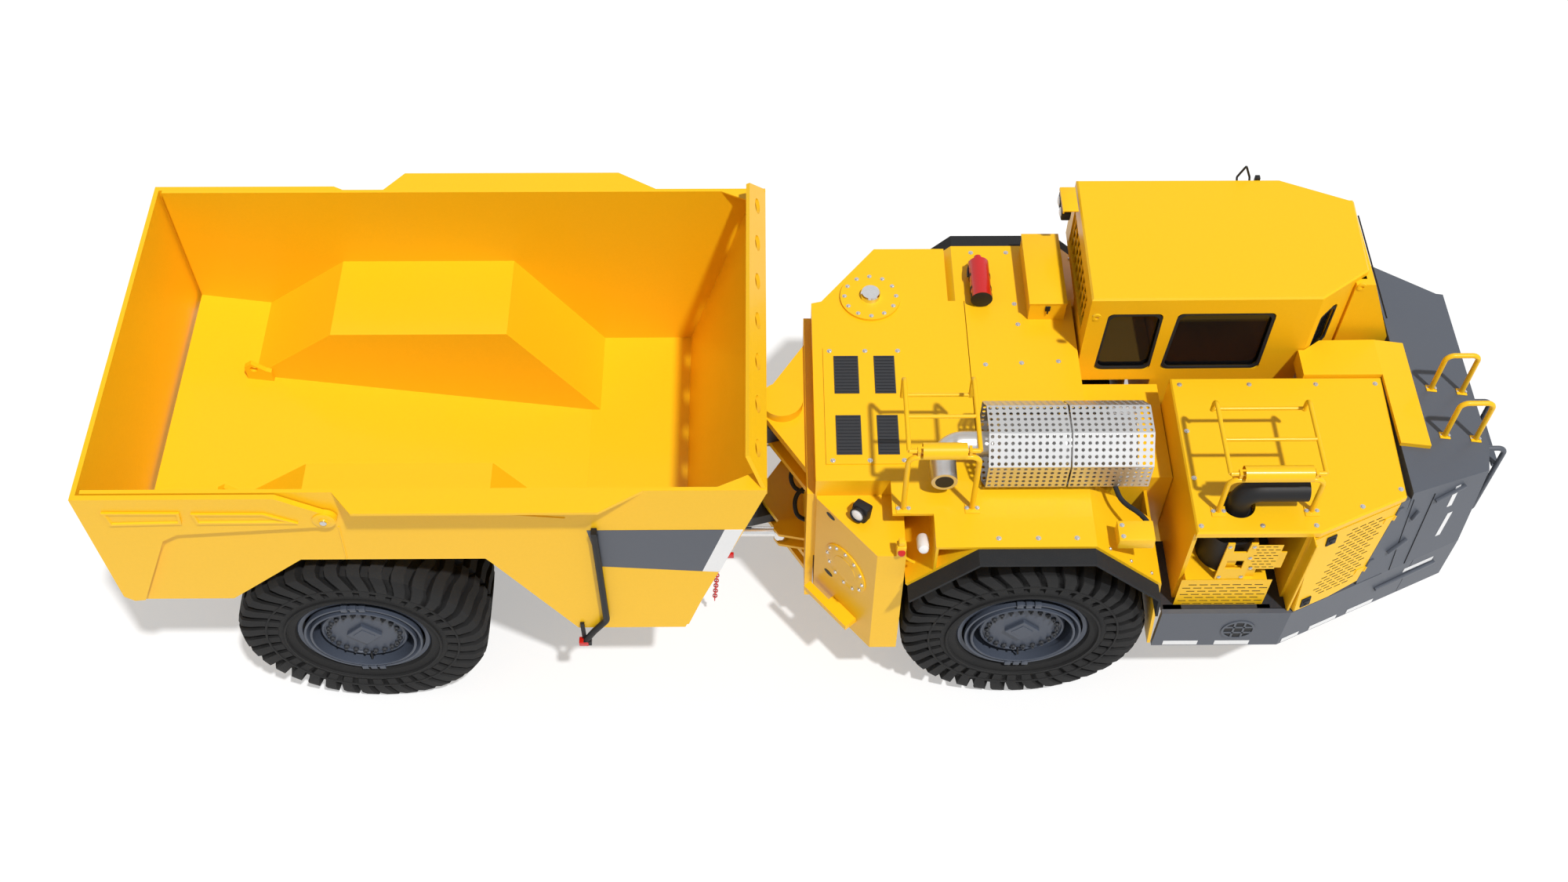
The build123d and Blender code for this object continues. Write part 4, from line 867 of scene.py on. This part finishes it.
bolts("mid_deck_bolts", "front_unit", [at(x, y, DECK) for x, y in MID_SPOTS])
grids = []
for x0, x1 in ((3.64, 3.83), (3.95, 4.11)):
    for y0, y1 in ((-0.065, 0.300), (-0.637, -0.273)):
        middle, step = (x0 + x1) / 2, (y1 - y0) / SLATS
        grids.append(slab(at(middle, (y0 + y1) / 2, DECK + 0.012), (x1 - x0, y1 - y0, 0.008), 0.002))
        for k in range(SLATS):
            grids.append(
                slab(at(middle, y0 + (k + 0.5) * step, DECK + 0.018), (x1 - x0 - 0.02, 0.008, 0.006), 0)
            )
settle(join(grids), "deck_grids", "front_unit", "dark_grey", 0)
bolts("hood_bolts", "front_unit", [at(x, y, DECK) for x, y in HOOD_SPOTS])
print("hood bolts", len(HOOD_SPOTS), "mid deck bolts", len(MID_SPOTS))

# %% [markdown]
# The fenders fall away to the front in a straight slope, so the bolts on it stand square to that slope. The
# open bay gets its floor and its corner post, and each folding handrail has a curved cover over its hinge.

# %% Fenders, bay and hinge covers
POSTS = ((4.110, -1.115), (4.610, -1.115), (6.400, -1.155), (7.080, -1.155))
FENDER_SLOPE = ((5.486, 2.240), (6.040, 1.720))
(x0, z0), (x1, z1) = FENDER_SLOPE
slope = (z0 - z1, 0, x1 - x0)
for side, sign in SIDES:
    bolts(f"fender_bolts_{side}", "front_unit", [at(x, sign * 1.375, DECK) for x in (4.784, 5.069, 5.348)])
    spots = [at(x, sign * 1.40, z0 + (z1 - z0) * (x - x0) / (x1 - x0)) for x in (5.60, 5.78, 5.96)]
    bolts(f"fender_slope_bolts_{side}", "front_unit", spots, slope, 0.010)
plates = [slab(at(x, y, DECK + 0.004), (0.105, 0.090, 0.008), 0.002) for x, y in POSTS]
settle(join(plates), "post_feet", "front_unit", "yellow")
spots = [at(x + d, y, DECK + 0.008) for x, y in POSTS for d in (-0.038, 0.038)]
bolts("post_foot_bolts", "front_unit", spots, radius=0.011)
settle(
    slab(at(5.770, -1.345, 2.235), (0.260, 0.170, 0.110), 0.006), "fender_bracket", "front_unit", "yellow",
)
bolts("bracket_bolts", "front_unit", [at(5.672, y, 2.290) for y in (-1.30, -1.395)], radius=0.012)
ledge = blocks(
    ((6.200, -1.100, 1.272), (0.160, 0.620, 0.010), 0),
    ((6.550, -1.395, 1.272), (0.820, 0.060, 0.010), 0),
)
plan = ((6.860, -1.400), (7.085, -1.400), (7.500, -1.215), (7.500, -0.600), (6.860, -0.600))
corner = place_by(sheet_of(plan, 0.010), Matrix.Translation(at(0, 0, 1.267)))
settle(join([ledge, corner]), "bay_floor", "front_unit", "dark_grey", 0)
post = blocks(
    ((7.079, -1.270, 1.735), (0.008, 0.290, 0.905), 0),
    ((7.085, -1.422, 1.735), (0.018, 0.018, 0.905), 0.005),
)
settle(post, "bay_post", "front_unit", "yellow", 0)
arc = [(math.cos(math.radians(a)), math.sin(math.radians(a))) for a in range(-20, 201, 20)]
shell = [(0.060 * u, 0.060 * v) for u, v in arc] + [(0.055 * u, 0.055 * v) for u, v in arc[::-1]]
upright = Matrix(((0, 0, 1), (1, 0, 0), (0, 1, 0))).to_4x4()
for name, x0, x1, y, z in (("rear", 4.110, 4.610, -1.090, 2.925), ("front", 6.400, 7.080, -1.130, 2.685)):
    cover = place_by(sheet_of(shell, x1 - x0 - 0.190), Matrix.Translation(at(x0 + 0.095, y, z)) @ upright)
    settle(cover, f"hinge_cover_{name}", "front_unit", "yellow", 40)
print("fenders and bay done")

# %% [markdown]
# The right block carries a worklight, a bolted round cover, two oval openings and, in a recess behind it, a
# valve and a small white reservoir. The block's face is turned to the rear and outwards, so its pieces
# share one direction.

# %% Right block hardware
BLOCK_OUT = Vector((-0.765, -0.645, 0)).normalized()
BLOCK_POINT = at(3.490, -0.890, 1.000)
EXHAUST_END = (4.400, -1.0204, 2.440)


def on_block(x, y, z):
    """Point on the block's turned face nearest to a given point."""
    point = at(x, y, z)
    return point - BLOCK_OUT * (point - BLOCK_POINT).dot(BLOCK_OUT)


cover = turned(
    [(0.222, 0), (0.222, 0.008), (0.218, 0.010), (0.120, 0.010), (0.116, 0.013), (0.0002, 0.013)], 56,
)
middle = on_block(3.716, -1.158, 1.503)
settle(stand(cover, middle, BLOCK_OUT), "round_cover", "front_unit", "yellow")
spots = [middle + (turn_to(BLOCK_OUT) @ m).translation + BLOCK_OUT * 0.010 for m in circle_of(12, 0.195)]
bolts("round_cover_bolts", "front_unit", spots, BLOCK_OUT, 0.011)
# The two oval openings are thin black plates: painted shade for their dark insides.
oval = place_by(turned([(0.045, 0), (0.045, 0.003), (0.040, 0.003)], 28), Matrix.Diagonal((1, 0.55, 1, 1)))
spots = (on_block(3.593, -1.012, 1.994), on_block(3.597, -1.017, 1.209))
ovals = copies(oval, [Matrix.Translation(spot) @ turn_to(BLOCK_OUT) for spot in spots])
settle(ovals, "block_openings_painted_shade", "front_unit", "black")
lamp_out = (-0.50, -0.72, 0.22)
lamp_at = at(3.790, -1.085, 2.130)
case = slab((0, 0, -0.045), (0.135, 0.135, 0.090), 0.018)
shade = ring_body(((0.050, 0.0), (0.060, 0.0), (0.062, 0.020), (0.058, 0.026), (0.050, 0.024)), 36)
foot = slab(lamp_at + Vector((0.03, 0.03, -0.075)), (0.030, 0.10, 0.08), 0.004)
settle(
    join([stand(join([case, shade]), lamp_at, lamp_out), foot]), "block_worklight", "front_unit", "black",
)
lens = turned([(0.050, 0.0), (0.050, 0.012), (0.030, 0.020), (0.002, 0.022)], 36)
settle(stand(lens, lamp_at, lamp_out), "block_worklight_lens", "front_unit", "lens")
valve = blocks(
    ((4.090, -1.380, 2.120), (0.070, 0.070, 0.120), 0.008),
    ((4.090, -1.380, 2.200), (0.045, 0.050, 0.060), 0.006),
)
pipe = rod([at(4.09, -1.38, 2.06), at(4.12, -1.36, 1.96), at(4.20, -1.36, 1.90)], 0.011, 3)
settle(join([valve, pipe]), "fuel_valve", "front_unit", "yellow")
button = turned([(0.012, 0), (0.012, 0.018), (0.028, 0.020), (0.028, 0.032), (0.020, 0.038)], 24)
settle(stand(button, at(4.090, -1.400, 2.110), (0, -0.8, 0.6)), "valve_button", "front_unit", "red")
bottle = turned([(0.040, -0.10), (0.046, -0.08), (0.046, 0.02), (0.036, 0.05), (0.020, 0.058)], 28)
settle(stand(bottle, at(4.255, -1.330, 2.080), (0, -0.9, 0.35)), "washer_bottle", "front_unit", "white")
route = (
    (5.640, -0.86, 2.300), (5.660, -0.98, 2.310), (5.700, -1.080, 2.262), (5.850, -1.200, 2.262),
    (5.90, -1.26, 2.20),
)
settle(rod([at(*point) for point in route], 0.019, 3), "guard_hose", "front_unit", "rubber")
# Thin black disc at the pipe's end: painted shade for the inside of the pipe.
opening = turned([(0.068, 0), (0.068, 0.0012)], 40)
settle(stand(opening, at(*EXHAUST_END), (0, -1, 0)), "exhaust_opening_painted_shade", "front_unit", "black")
print("block done")

# %% [markdown]
# Small things on the roof, the fire extinguisher and the electrical box complete the deck.

# %% Roof and deck fittings
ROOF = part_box("cab_body")[1].z
cases = blocks(
    ((5.470, 1.420, 2.800), (0.075, 0.110, 0.110), 0.012),
    ((5.470, 1.300, 2.800), (0.075, 0.100, 0.110), 0.012),
)
settle(cases, "roof_lamp_cases", "front_unit", "black")
caps = blocks(
    ((5.500, 1.36, 2.872), (0.115, 0.26, 0.012), 0.004),
    ((5.440, 1.36, 2.862), (0.012, 0.26, 0.03), 0.003),
)
settle(caps, "roof_lamp_cover", "front_unit", "yellow")
places = [Matrix.Translation(at(5.433, y, 2.795)) @ turn_to((-1, 0, 0)) for y in (1.30, 1.42)]
lenses = copies(turned([(0.038, 0), (0.038, 0.006), (0.020, 0.012)], 24), places)
settle(lenses, "roof_lamp_lenses", "front_unit", "lens")
eye = ring_body(((0.016, -0.008), (0.034, -0.008), (0.036, 0.0), (0.034, 0.008), (0.016, 0.008)), 24)
eye = stand(eye, (0, 0, 0), (0, -1, 0))
eye = join([eye, slab((0, 0.01, -0.035), (0.055, 0.022, 0.030))])
places = [Matrix.Translation(at(x, y, ROOF - 0.020)) for x, y in ((5.592, 0.228), (7.640, 0.520))]
settle(copies(eye, places), "roof_eyes", "front_unit", "yellow")
whip = (
    (6.850, 1.565, 2.830), (6.850, 1.600, 2.870), (6.900, 1.600, 2.990), (6.950, 1.600, 2.870),
    (6.950, 1.565, 2.830),
)
aerial = [
    rod([at(*point) for point in whip], 0.009), slab(at(7.010, 1.585, 2.860), (0.040, 0.040, 0.060), 0.006),
]
settle(join(aerial), "aerial", "front_unit", "black")
low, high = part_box("extinguisher")
middle = (low + high) / 2
radius = (high - low).x / 2
hoop = (
    (radius - 0.004, -0.014), (radius + 0.005, -0.014), (radius + 0.005, 0.014), (radius - 0.004, 0.014),
)
band = []
for part in (0.22, 0.52):
    y = low.y + (high.y - low.y) * part
    band.append(stand(ring_body(hoop, 36), Vector((middle.x, y, middle.z)), (0, 1, 0)))
bottom = turned([(radius - 0.004, 0), (radius + 0.004, 0.004), (radius + 0.004, 0.05), (radius, 0.054)], 36)
band.append(stand(bottom, Vector((middle.x, low.y - 0.004, middle.z)), (0, 1, 0)))
outlet = Vector((middle.x, high.y, middle.z))
route = ((-0.01, -0.02, 0.02), (-0.09, -0.05, 0.02), (-0.09, -0.20, 0))
band.append(rod([outlet + Vector(point) for point in route], 0.009, 3))
settle(join(band), "extinguisher_bands", "front_unit", "black")
low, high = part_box("electrical_box")
middle = (low + high) / 2
lid = slab((middle.x, middle.y, high.z + 0.001), (high.x - low.x + 0.014, high.y - low.y + 0.014, 0.012))
settle(lid, "electrical_lid", "front_unit", "yellow")
handle = rod(
    [Vector((middle.x, low.y - 0.014, high.z - 0.035)), Vector((middle.x, low.y - 0.016, high.z - 0.10))],
    0.007,
)
latch = join([slab((middle.x, low.y - 0.006, high.z - 0.055), (0.040, 0.012, 0.050)), handle])
settle(latch, "electrical_latch", "front_unit", "black")
print("extinguisher radius", round(radius, 3), "electrical box top", round(high.z, 3))

# %% [markdown]
# The box side has one painted grey panel and a white stripe. Both are thin plates laid on the sheet.

# %% Painted panels
BOX_FACE = 1.4232
PANELS = {
    "grey": ((1.847, 2.450), (2.819, 2.450), (2.646, 1.900), (1.903, 1.975)),
    "white": ((2.819, 2.450), (2.951, 2.450), (2.772, 1.890), (2.646, 1.900)),
}
for side, sign in SIDES:
    for look, outline in PANELS.items():
        panel = place_by(sheet_of(on_wall(outline, sign), 0.003), wall(sign * BOX_FACE, sign))
        settle(panel, f"box_{look}_{side}", "dump_box", look, 0)
box_low, box_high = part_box("dump_box")
print("box", [round(v, 3) for v in (*box_low, *box_high)])

# %% [markdown]
# Cab windows sit in rubber seals. A seal is a bar swept round an outline with rounded corners, made here as
# a flat ring of faces that is given thickness. It is lifted off the pane by a fixed distance and covers the
# pane's edge. The CAD panes are single meshes with several panes in them, so each pane is found as an
# island of joined faces, and the outline of its widest side gives the seal's corners.

# %% Window seals
SEAL_WIDTH = 0.030
SEAL_THICKNESS = 0.012
SEAL_CORNER = 0.030
SEAL_LIFT = {"front_unit": 0.020, "cab_door": 0.026}


def seal(name, body, corners):
    """Rubber seal on a flat outline of points in space."""
    path = []
    for k, point in enumerate(corners):
        before = (corners[k - 1] - point).normalized()
        after = (corners[(k + 1) % len(corners)] - point).normalized()
        a, b = point + before * SEAL_CORNER, point + after * SEAL_CORNER
        for t in (0.0, 0.25, 0.5, 0.75, 1.0):
            path.append(a * (1 - t) ** 2 + point * 2 * t * (1 - t) + b * t**2)
    centre = sum(corners, Vector()) / len(corners)
    piece = circle(len(path), 1)
    for vertex, point in zip(piece.data.vertices, path):
        vertex.co = point
    edit(piece, kind="EDGE")
    bpy.ops.mesh.extrude_region_move(TRANSFORM_OT_translate={"value": (0, 0, 0)})
    bpy.ops.object.mode_set(mode="OBJECT")
    for k, point in enumerate(path):
        piece.data.vertices[len(path) + k].co = point + (centre - point).normalized() * SEAL_WIDTH
    edit(piece)
    modify(leave(piece), "SOLIDIFY", thickness=SEAL_THICKNESS, offset=0)
    edit(piece)
    settle(leave(piece), name, body, "rubber", 40)


def islands_of(node):
    """Groups of a mesh's faces that share corners, each as a list of faces."""
    parent = {}

    def root(key):
        while parent[key] != key:
            key = parent[key]
        return key

    def key_of(index):
        return tuple(round(c, 4) for c in node.matrix_world @ node.data.vertices[index].co)

    for face in node.data.polygons:
        keys = [key_of(v) for v in face.vertices]
        for key in keys:
            parent.setdefault(key, key)
        for key in keys[1:]:
            parent[root(key)] = root(keys[0])
    groups = {}
    for face in node.data.polygons:
        groups.setdefault(root(key_of(face.vertices[0])), []).append(face)
    return groups.values()


def half_hull(points):
    """One half of the convex outline round sorted flat points."""
    hull = []
    for point in points:
        while len(hull) > 1 and corner_turn(hull[-2], hull[-1], point) <= 1e-5:
            hull.pop()
        hull.append(point)
    return hull[:-1]


def outline_of(node, faces, outward):
    """Corners of the pane side that faces outwards, in order round its middle, and its direction."""
    turn = node.matrix_world.to_3x3()
    sides = {}
    for face in faces:
        normal = (turn @ face.normal).normalized()
        sides.setdefault(tuple(round(c, 1) for c in normal), []).append(face)

    def weight(group):
        return sum(face.area for face in group) * (1 + (turn @ group[0].normal).dot(outward))

    best = max(sides.values(), key=weight)
    normal = (turn @ best[0].normal).normalized()
    corners = [node.matrix_world @ node.data.vertices[v].co for face in best for v in face.vertices]
    points = [Vector(p) for p in {tuple(round(c, 4) for c in corner) for corner in corners}]
    middle = sum(points, Vector()) / len(points)
    x = normal.orthogonal().normalized()
    y = normal.cross(x)
    flat = sorted(((p - middle).dot(x), (p - middle).dot(y)) for p in points)
    return [
        middle + x * u + y * v + normal * 0.002 for u, v in half_hull(flat) + half_hull(flat[::-1])
    ], normal


count = 0
cab_middle = (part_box("cab_body")[0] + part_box("cab_body")[1]) / 2
for name, body in (("cab_glass", "front_unit"), ("door_glass", "cab_door")):
    node = frame["nodes"][name]
    for faces in islands_of(node):
        corner = node.matrix_world @ node.data.vertices[faces[0].vertices[0]].co
        corners, normal = outline_of(node, faces, (corner - cab_middle).normalized())
        if len(corners) >= 9:
            gaps = [
                (after - corner).length > 0.06 for corner, after in zip(corners, corners[1:] + corners[:1])
            ]
            corners = [corner for k, corner in enumerate(corners) if gaps[k - 1] or gaps[k]]
        seal(f"pane_seal_{count}", body, [corner + normal * SEAL_LIFT[body] for corner in corners])
        count += 1
print("seals", count)

# %% [markdown]
# The driver's seat is two padded pieces on a pedestal. Each cushion is a bevelled block that is divided
# finely and raised in the middle of its top, so it is crowned like stuffed foam. Mats and pads line the
# cab's floor and shelves.


# %% Seat, wheel and cab lining
def cushion(size, crown):
    """Stuffed cushion with its crowned face upwards."""
    pad = slab((0, 0, 0), size, 0.035)
    edit(pad)
    bpy.ops.mesh.subdivide(number_cuts=5)
    leave(pad)
    for vertex in pad.data.vertices:
        u, v = 2 * vertex.co.x / size[0], 2 * vertex.co.y / size[1]
        if vertex.co.z > 0:
            vertex.co.z += crown * max(0, 1 - u**2) ** 0.7 * max(0, 1 - v**2) ** 0.7
            vertex.co.z -= 0.010 * math.exp(-(((abs(u) - 0.55) / 0.05) ** 2))
    return pad


pad = place_by(cushion((0.46, 0.46, 0.10), 0.030), Matrix.Translation(at(6.470, 0.970, 1.715)))
seat_base = settle(pad, "seat_cushion", "front_unit", "trim", 60)
lean = Matrix.Rotation(math.radians(80), 4, "Y")
pad = place_by(cushion((0.62, 0.44, 0.09), 0.030), Matrix.Translation(at(6.280, 0.970, 2.110)) @ lean)
seat_back = settle(pad, "seat_back", "front_unit", "trim", 60)
pedestal = blocks(
    ((6.460, 0.970, 1.635), (0.44, 0.42, 0.05), 0.010),
    ((6.460, 0.970, 1.560), (0.28, 0.26, 0.14), 0.010),
)
settle(pedestal, "seat_pedestal", "front_unit", "black")
boss = turned([(0.055, -0.010), (0.060, 0.010), (0.030, 0.022)], 24)
grip = ((0.180, 0.0), (0.190, -0.012), (0.204, -0.012), (0.212, 0.0), (0.204, 0.012), (0.190, 0.012))
spokes = [
    rod([(0, 0, 0.0), (0.19 * math.cos(a), 0.19 * math.sin(a), 0.0)], 0.013) for a in (1.571, 3.665, 5.760)
]
wheel = stand(join([boss, ring_body(grip, 48), *spokes]), at(7.060, 0.970, 2.250), (-0.70, 0, 0.72))
column = rod([at(7.070, 0.970, 2.240), at(7.330, 0.970, 1.980)], 0.032)
settle(join([wheel, column]), "steering_wheel", "front_unit", "black")
lining = blocks(
    ((6.740, 0.950, 1.304), (1.020, 1.100, 0.006), 0),
    ((7.430, 0.980, 1.304), (0.360, 0.640, 0.006), 0),
    ((5.890, 0.590, 1.964), (0.500, 0.380, 0.006), 0),
    ((5.890, 1.190, 2.326), (0.500, 0.620, 0.006), 0),
    ((5.890, 1.508, 2.550), (0.500, 0.008, 0.440), 0),
    ((6.180, 1.130, 2.120), (0.012, 0.520, 0.400), 0),
)
settle(lining, "cab_trim", "front_unit", "trim", 0)
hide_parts("seat")
print("seat, steering wheel and lining done")

# %% [markdown]
# The box side and the tailgate arm have pressed pockets. A pocket is a plate with its face inset and pushed
# in. The arm turns on a boss with a bright pin.

# %% Box pockets and pivot
TRAY_SHEET = 0.016
TRAY_RIM = 0.020
TRAY_DEPTH = 0.012
SIDE_POCKET = ((-1.480, 2.427), (-1.100, 2.423), (-1.300, 2.040), (-1.370, 2.020))
ARM_POCKETS = (
    ((-1.45, 2.784), (-0.916, 2.779), (-0.932, 2.642), (-1.434, 2.627)),
    ((-0.840, 2.768), (-0.346, 2.764), (-0.130, 2.644), (-0.830, 2.641)),
)
ARM_PIVOT = (0.050, 2.665)


def tray(outline, y, sign):
    """Plate on a side wall with a raised rim."""
    plate = sheet_of(on_wall(outline, sign), TRAY_SHEET)
    edit(plate, lambda face: face.normal.z > 0.5)
    bpy.ops.mesh.inset(thickness=TRAY_RIM, depth=0)
    bpy.ops.mesh.inset(thickness=TRAY_DEPTH * 0.6, depth=-TRAY_DEPTH)
    return place_by(leave(plate), wall(y, sign))


for side, sign in SIDES:
    y = sign * BOX_FACE
    made = [tray(SIDE_POCKET, y, sign), rod([at(0.118, y, 2.516), at(0.092, y, 2.104)], 0.007)]
    made.append(rod([at(0.300, y, 2.790), at(1.708, y, 2.610)], 0.008))
    settle(join(made), f"side_pressings_{side}", "dump_box", "yellow", 20)
    low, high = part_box("tailgate")
    arm = low.y if sign < 0 else high.y
    made = [tray(pocket, arm - sign * 0.001, sign) for pocket in ARM_POCKETS]
    settle(join(made), f"arm_pressings_{side}", "tailgate", "yellow", 20)
    pivot = at(ARM_PIVOT[0], arm - sign * 0.002, ARM_PIVOT[1])
    boss = turned(
        [(0.080, 0), (0.080, 0.010), (0.068, 0.014), (0.034, 0.014), (0.030, 0.022), (0.014, 0.024)], 40,
    )
    settle(stand(boss, pivot, (0, sign, 0)), f"arm_boss_{side}", "tailgate", "yellow")
    pin = turned([(0.024, 0.020), (0.024, 0.030), (0.018, 0.034)], 20)
    settle(stand(pin, pivot, (0, sign, 0)), f"arm_pin_{side}", "tailgate", "steel")
print("arm side", round(arm, 3))

# %% [markdown]
# The nose side carries small angle handles, two seams, reflecting stripes and a wear bar along its foot,
# and the skirt has a round vent. They lie on side planes, so one matrix places them from two coordinates
# along and up the plane. The grab rails at the front stand on bolted feet that follow the slope of the
# nose.

# %% Nose and skirt fittings
NOSE_SLOPE = 135 / 741
STRIPE = 0.002
low_plane = basis(at(7.110, -1.4512, 1.285), SIDE_ALONG, (math.sin(SIDE_TURN), -math.cos(SIDE_TURN), 0))
low_stripes = (
    (0.03, -0.470, 0.191, -0.415), (0.293, -0.470, 0.549, -0.415),
    (0.650, -0.470, 0.900, -0.415), (1.089, -0.150, 1.371, -0.100),
)
stripes = [(rectangle(x0, 0.814, x1, 0.872), wall(-1.4512)) for x0, x1 in ((6.208, 6.478), (6.610, 6.881))]
stripes += [(rectangle(*row), low_plane) for row in low_stripes]
for u0, v0, u1, v1 in ((1.290, 0.563, 1.313, 0.790), (1.285, 0.212, 1.330, 0.463)):
    stripes.append((((u0, v0), (u0 + 0.045, v0), (u1 + 0.045, v1), (u1, v1)), side_plane))
stripes = [place_by(sheet_of(corners, STRIPE), plane) for corners, plane in stripes]
settle(join(stripes), "reflecting_stripes", "front_unit", "white", 0)
handles = []
ends = (
    ((0.985, 0.696), (0.939, 0.619)), ((0.968, 0.370), (0.809, 0.289)), ((1.400, 0.770), (1.128, 0.735)),
)
for (u0, v0), (u1, v1) in ends:
    turn = Matrix.Rotation(math.atan2(v1 - v0, u1 - u0), 4, "Z")
    size = (math.hypot(u1 - u0, v1 - v0), 0.022, 0.026)
    handles.append(place_by(slab(((u0 + u1) / 2, (v0 + v1) / 2, 0.014), size, 0.004, turn), side_plane))
settle(join(handles), "nose_handles", "front_unit", "grey")
seams = []
for ends, radius in ((((1.109, 0.820), (1.050, 0.010)), 0.004), (((0.905, 0.860), (0.905, 0.010)), 0.003)):
    seams.append(rod([side_plane @ Vector((*end, 0.002)) for end in ends], radius))
settle(join(seams), "nose_seams", "front_unit", "black")
wear = slab((1.120, -0.200, 0.012), (0.56, 0.030, 0.024), 0.004, Matrix.Rotation(math.radians(4), 4, "Z"))
settle(place_by(wear, low_plane), "nose_wear_bar", "front_unit", "grey")
vent = [ring_body(((0.112, 0), (0.130, 0), (0.130, 0.008), (0.112, 0.008)), 48)]
for across in (True, False):
    for k in (-0.55, 0.55):
        bar = 0.23 * math.sqrt(1 - (0.6 * k) ** 2)
        place, size = ((0, 0.07 * k), (bar, 0.016)) if across else ((0.07 * k, 0), (0.016, bar))
        vent.append(slab((*place, 0.004), (*size, 0.006), 0))
vent_at = at(6.755, -1.4505, 1.040)
settle(stand(join(vent), vent_at, (0, -1, 0)), "skirt_vent", "front_unit", "grey")
# Black disc behind the vent bars: painted shade for the dark inside of the vent.
dark = turned([(0.118, -0.002), (0.118, 0.002)], 48)
settle(stand(dark, vent_at, (0, -1, 0)), "skirt_vent_painted_shade", "front_unit", "black")
lean = Matrix.Rotation(math.atan(NOSE_SLOPE), 4, "Y")
foot_spots = [at(x, y, 2.229 - (x - 7.860) * NOSE_SLOPE) for x in (8.25, 8.50) for y in (-0.42, 0.03)]
feet = [slab(spot, (0.085, 0.060, 0.010), 0.003, lean) for spot in foot_spots]
settle(join(feet), "grab_rail_feet", "front_unit", "yellow")
spots = [spot + Vector((d, 0, 0.005)) for spot in foot_spots for d in (-0.032, 0.032)]
bolts("grab_foot_bolts", "front_unit", spots, (NOSE_SLOPE, 0, 1), 0.008)
print("stripes", len(stripes), "grab rail feet", len(feet))

# %% [markdown]
# A safety bar for the pivot hangs on a short chain beside the joint, painted red. Hydraulic hoses loop out
# of the front frame near the joint. The lamps at the nose and the tail finish the machine.

# %% Joint, lamps and small fittings
NOSE_FACE = 8.600
LINKS = 14
lock = blocks(
    ((2.780, -0.700, 0.965), (0.150, 0.030, 0.050), 0.004),
    ((2.720, -0.700, 0.900), (0.040, 0.030, 0.140), 0.004),
)
settle(lock, "pivot_lock_bracket", "rear_unit", "red")
link = ring_body(((0.013, -0.004), (0.021, -0.004), (0.021, 0.004), (0.013, 0.004)), 16)
place_by(link, Matrix.Diagonal((1, 1.5, 1, 1)))
places = []
for k in range(LINKS):
    turn = Matrix.Rotation(math.radians(90), 4, "X") @ Matrix.Rotation(math.radians(90 * (k % 2)), 4, "Y")
    places.append(Matrix.Translation(at(2.725 - 0.003 * k, -0.700, 0.820 - 0.040 * k)) @ turn)
settle(copies(link, places), "pivot_lock_chain", "rear_unit", "red")
routes = (
    (
        (3.47, -0.25, 1.20), (3.36, -0.27, 1.22), (3.30, -0.20, 1.34), (3.36, -0.12, 1.42),
        (3.47, -0.10, 1.42),
    ),
    (
        (3.47, -0.55, 1.24), (3.37, -0.56, 1.26), (3.33, -0.48, 1.38), (3.38, -0.40, 1.46),
        (3.47, -0.38, 1.46),
    ),
)
hoses = [rod([at(*point) for point in route], 0.018, 3) for route in routes]
settle(join(hoses), "joint_hoses", "front_unit", "rubber")
places = [
    Matrix.Translation(
        at(NOSE_FACE - 0.001, y, 1.700)
    ) @ turn_to((1, 0, 0)) for y in (-0.52, -0.36, 0.36, 0.52)
]
lamps = copies(turned([(0.062, 0), (0.066, 0.020), (0.060, 0.026), (0.052, 0.026)], 32), places)
settle(lamps, "headlamp_cases", "front_unit", "black")
glasses = copies(turned([(0.052, 0.020), (0.050, 0.030), (0.020, 0.036)], 32), places)
settle(glasses, "headlamp_lenses", "front_unit", "lens")
louvres = blocks(
    *(((NOSE_FACE + 0.002, 0, 1.300 + 0.055 * k), (0.012, 0.900, 0.022), 0.003) for k in range(6))
)
settle(louvres, "nose_louvres", "front_unit", "dark_grey")
route = ((6.620, 1.552, 1.720), (6.620, 1.575, 1.720), (6.760, 1.575, 1.720), (6.760, 1.552, 1.720))
settle(rod([at(*point) for point in route], 0.009), "door_handle", "cab_door", "black")
for side, sign in SIDES:
    case = slab(at(-1.129, sign * 0.280, 1.275), (0.028, 0.074, 0.092), 0.006)
    settle(case, f"tail_lamp_case_{side}", "rear_unit", "black")
    lens = slab(at(-1.144, sign * 0.280, 1.275), (0.006, 0.060, 0.076), 0.002)
    settle(lens, f"tail_lamp_lens_{side}", "rear_unit", "red_lens")
gate_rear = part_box("tailgate")[0].x
ribs = [slab((gate_rear - 0.003, 0, z), (0.012, 2.620, 0.110), 0.004) for z in (1.780, 2.300, 2.830)]
ribs += [slab((gate_rear - 0.002, y, 2.305), (0.010, 0.100, 0.960), 0.004) for y in (-0.900, 0, 0.900)]
settle(join(ribs), "gate_ribs", "tailgate", "yellow")
settle(slab(at(1.700, -1.455, 0.925), (0.075, 0.060, 0.055), 0.008), "tube_fitting", "dump_box", "red")
print("chain links", LINKS, "gate ribs", len(ribs))
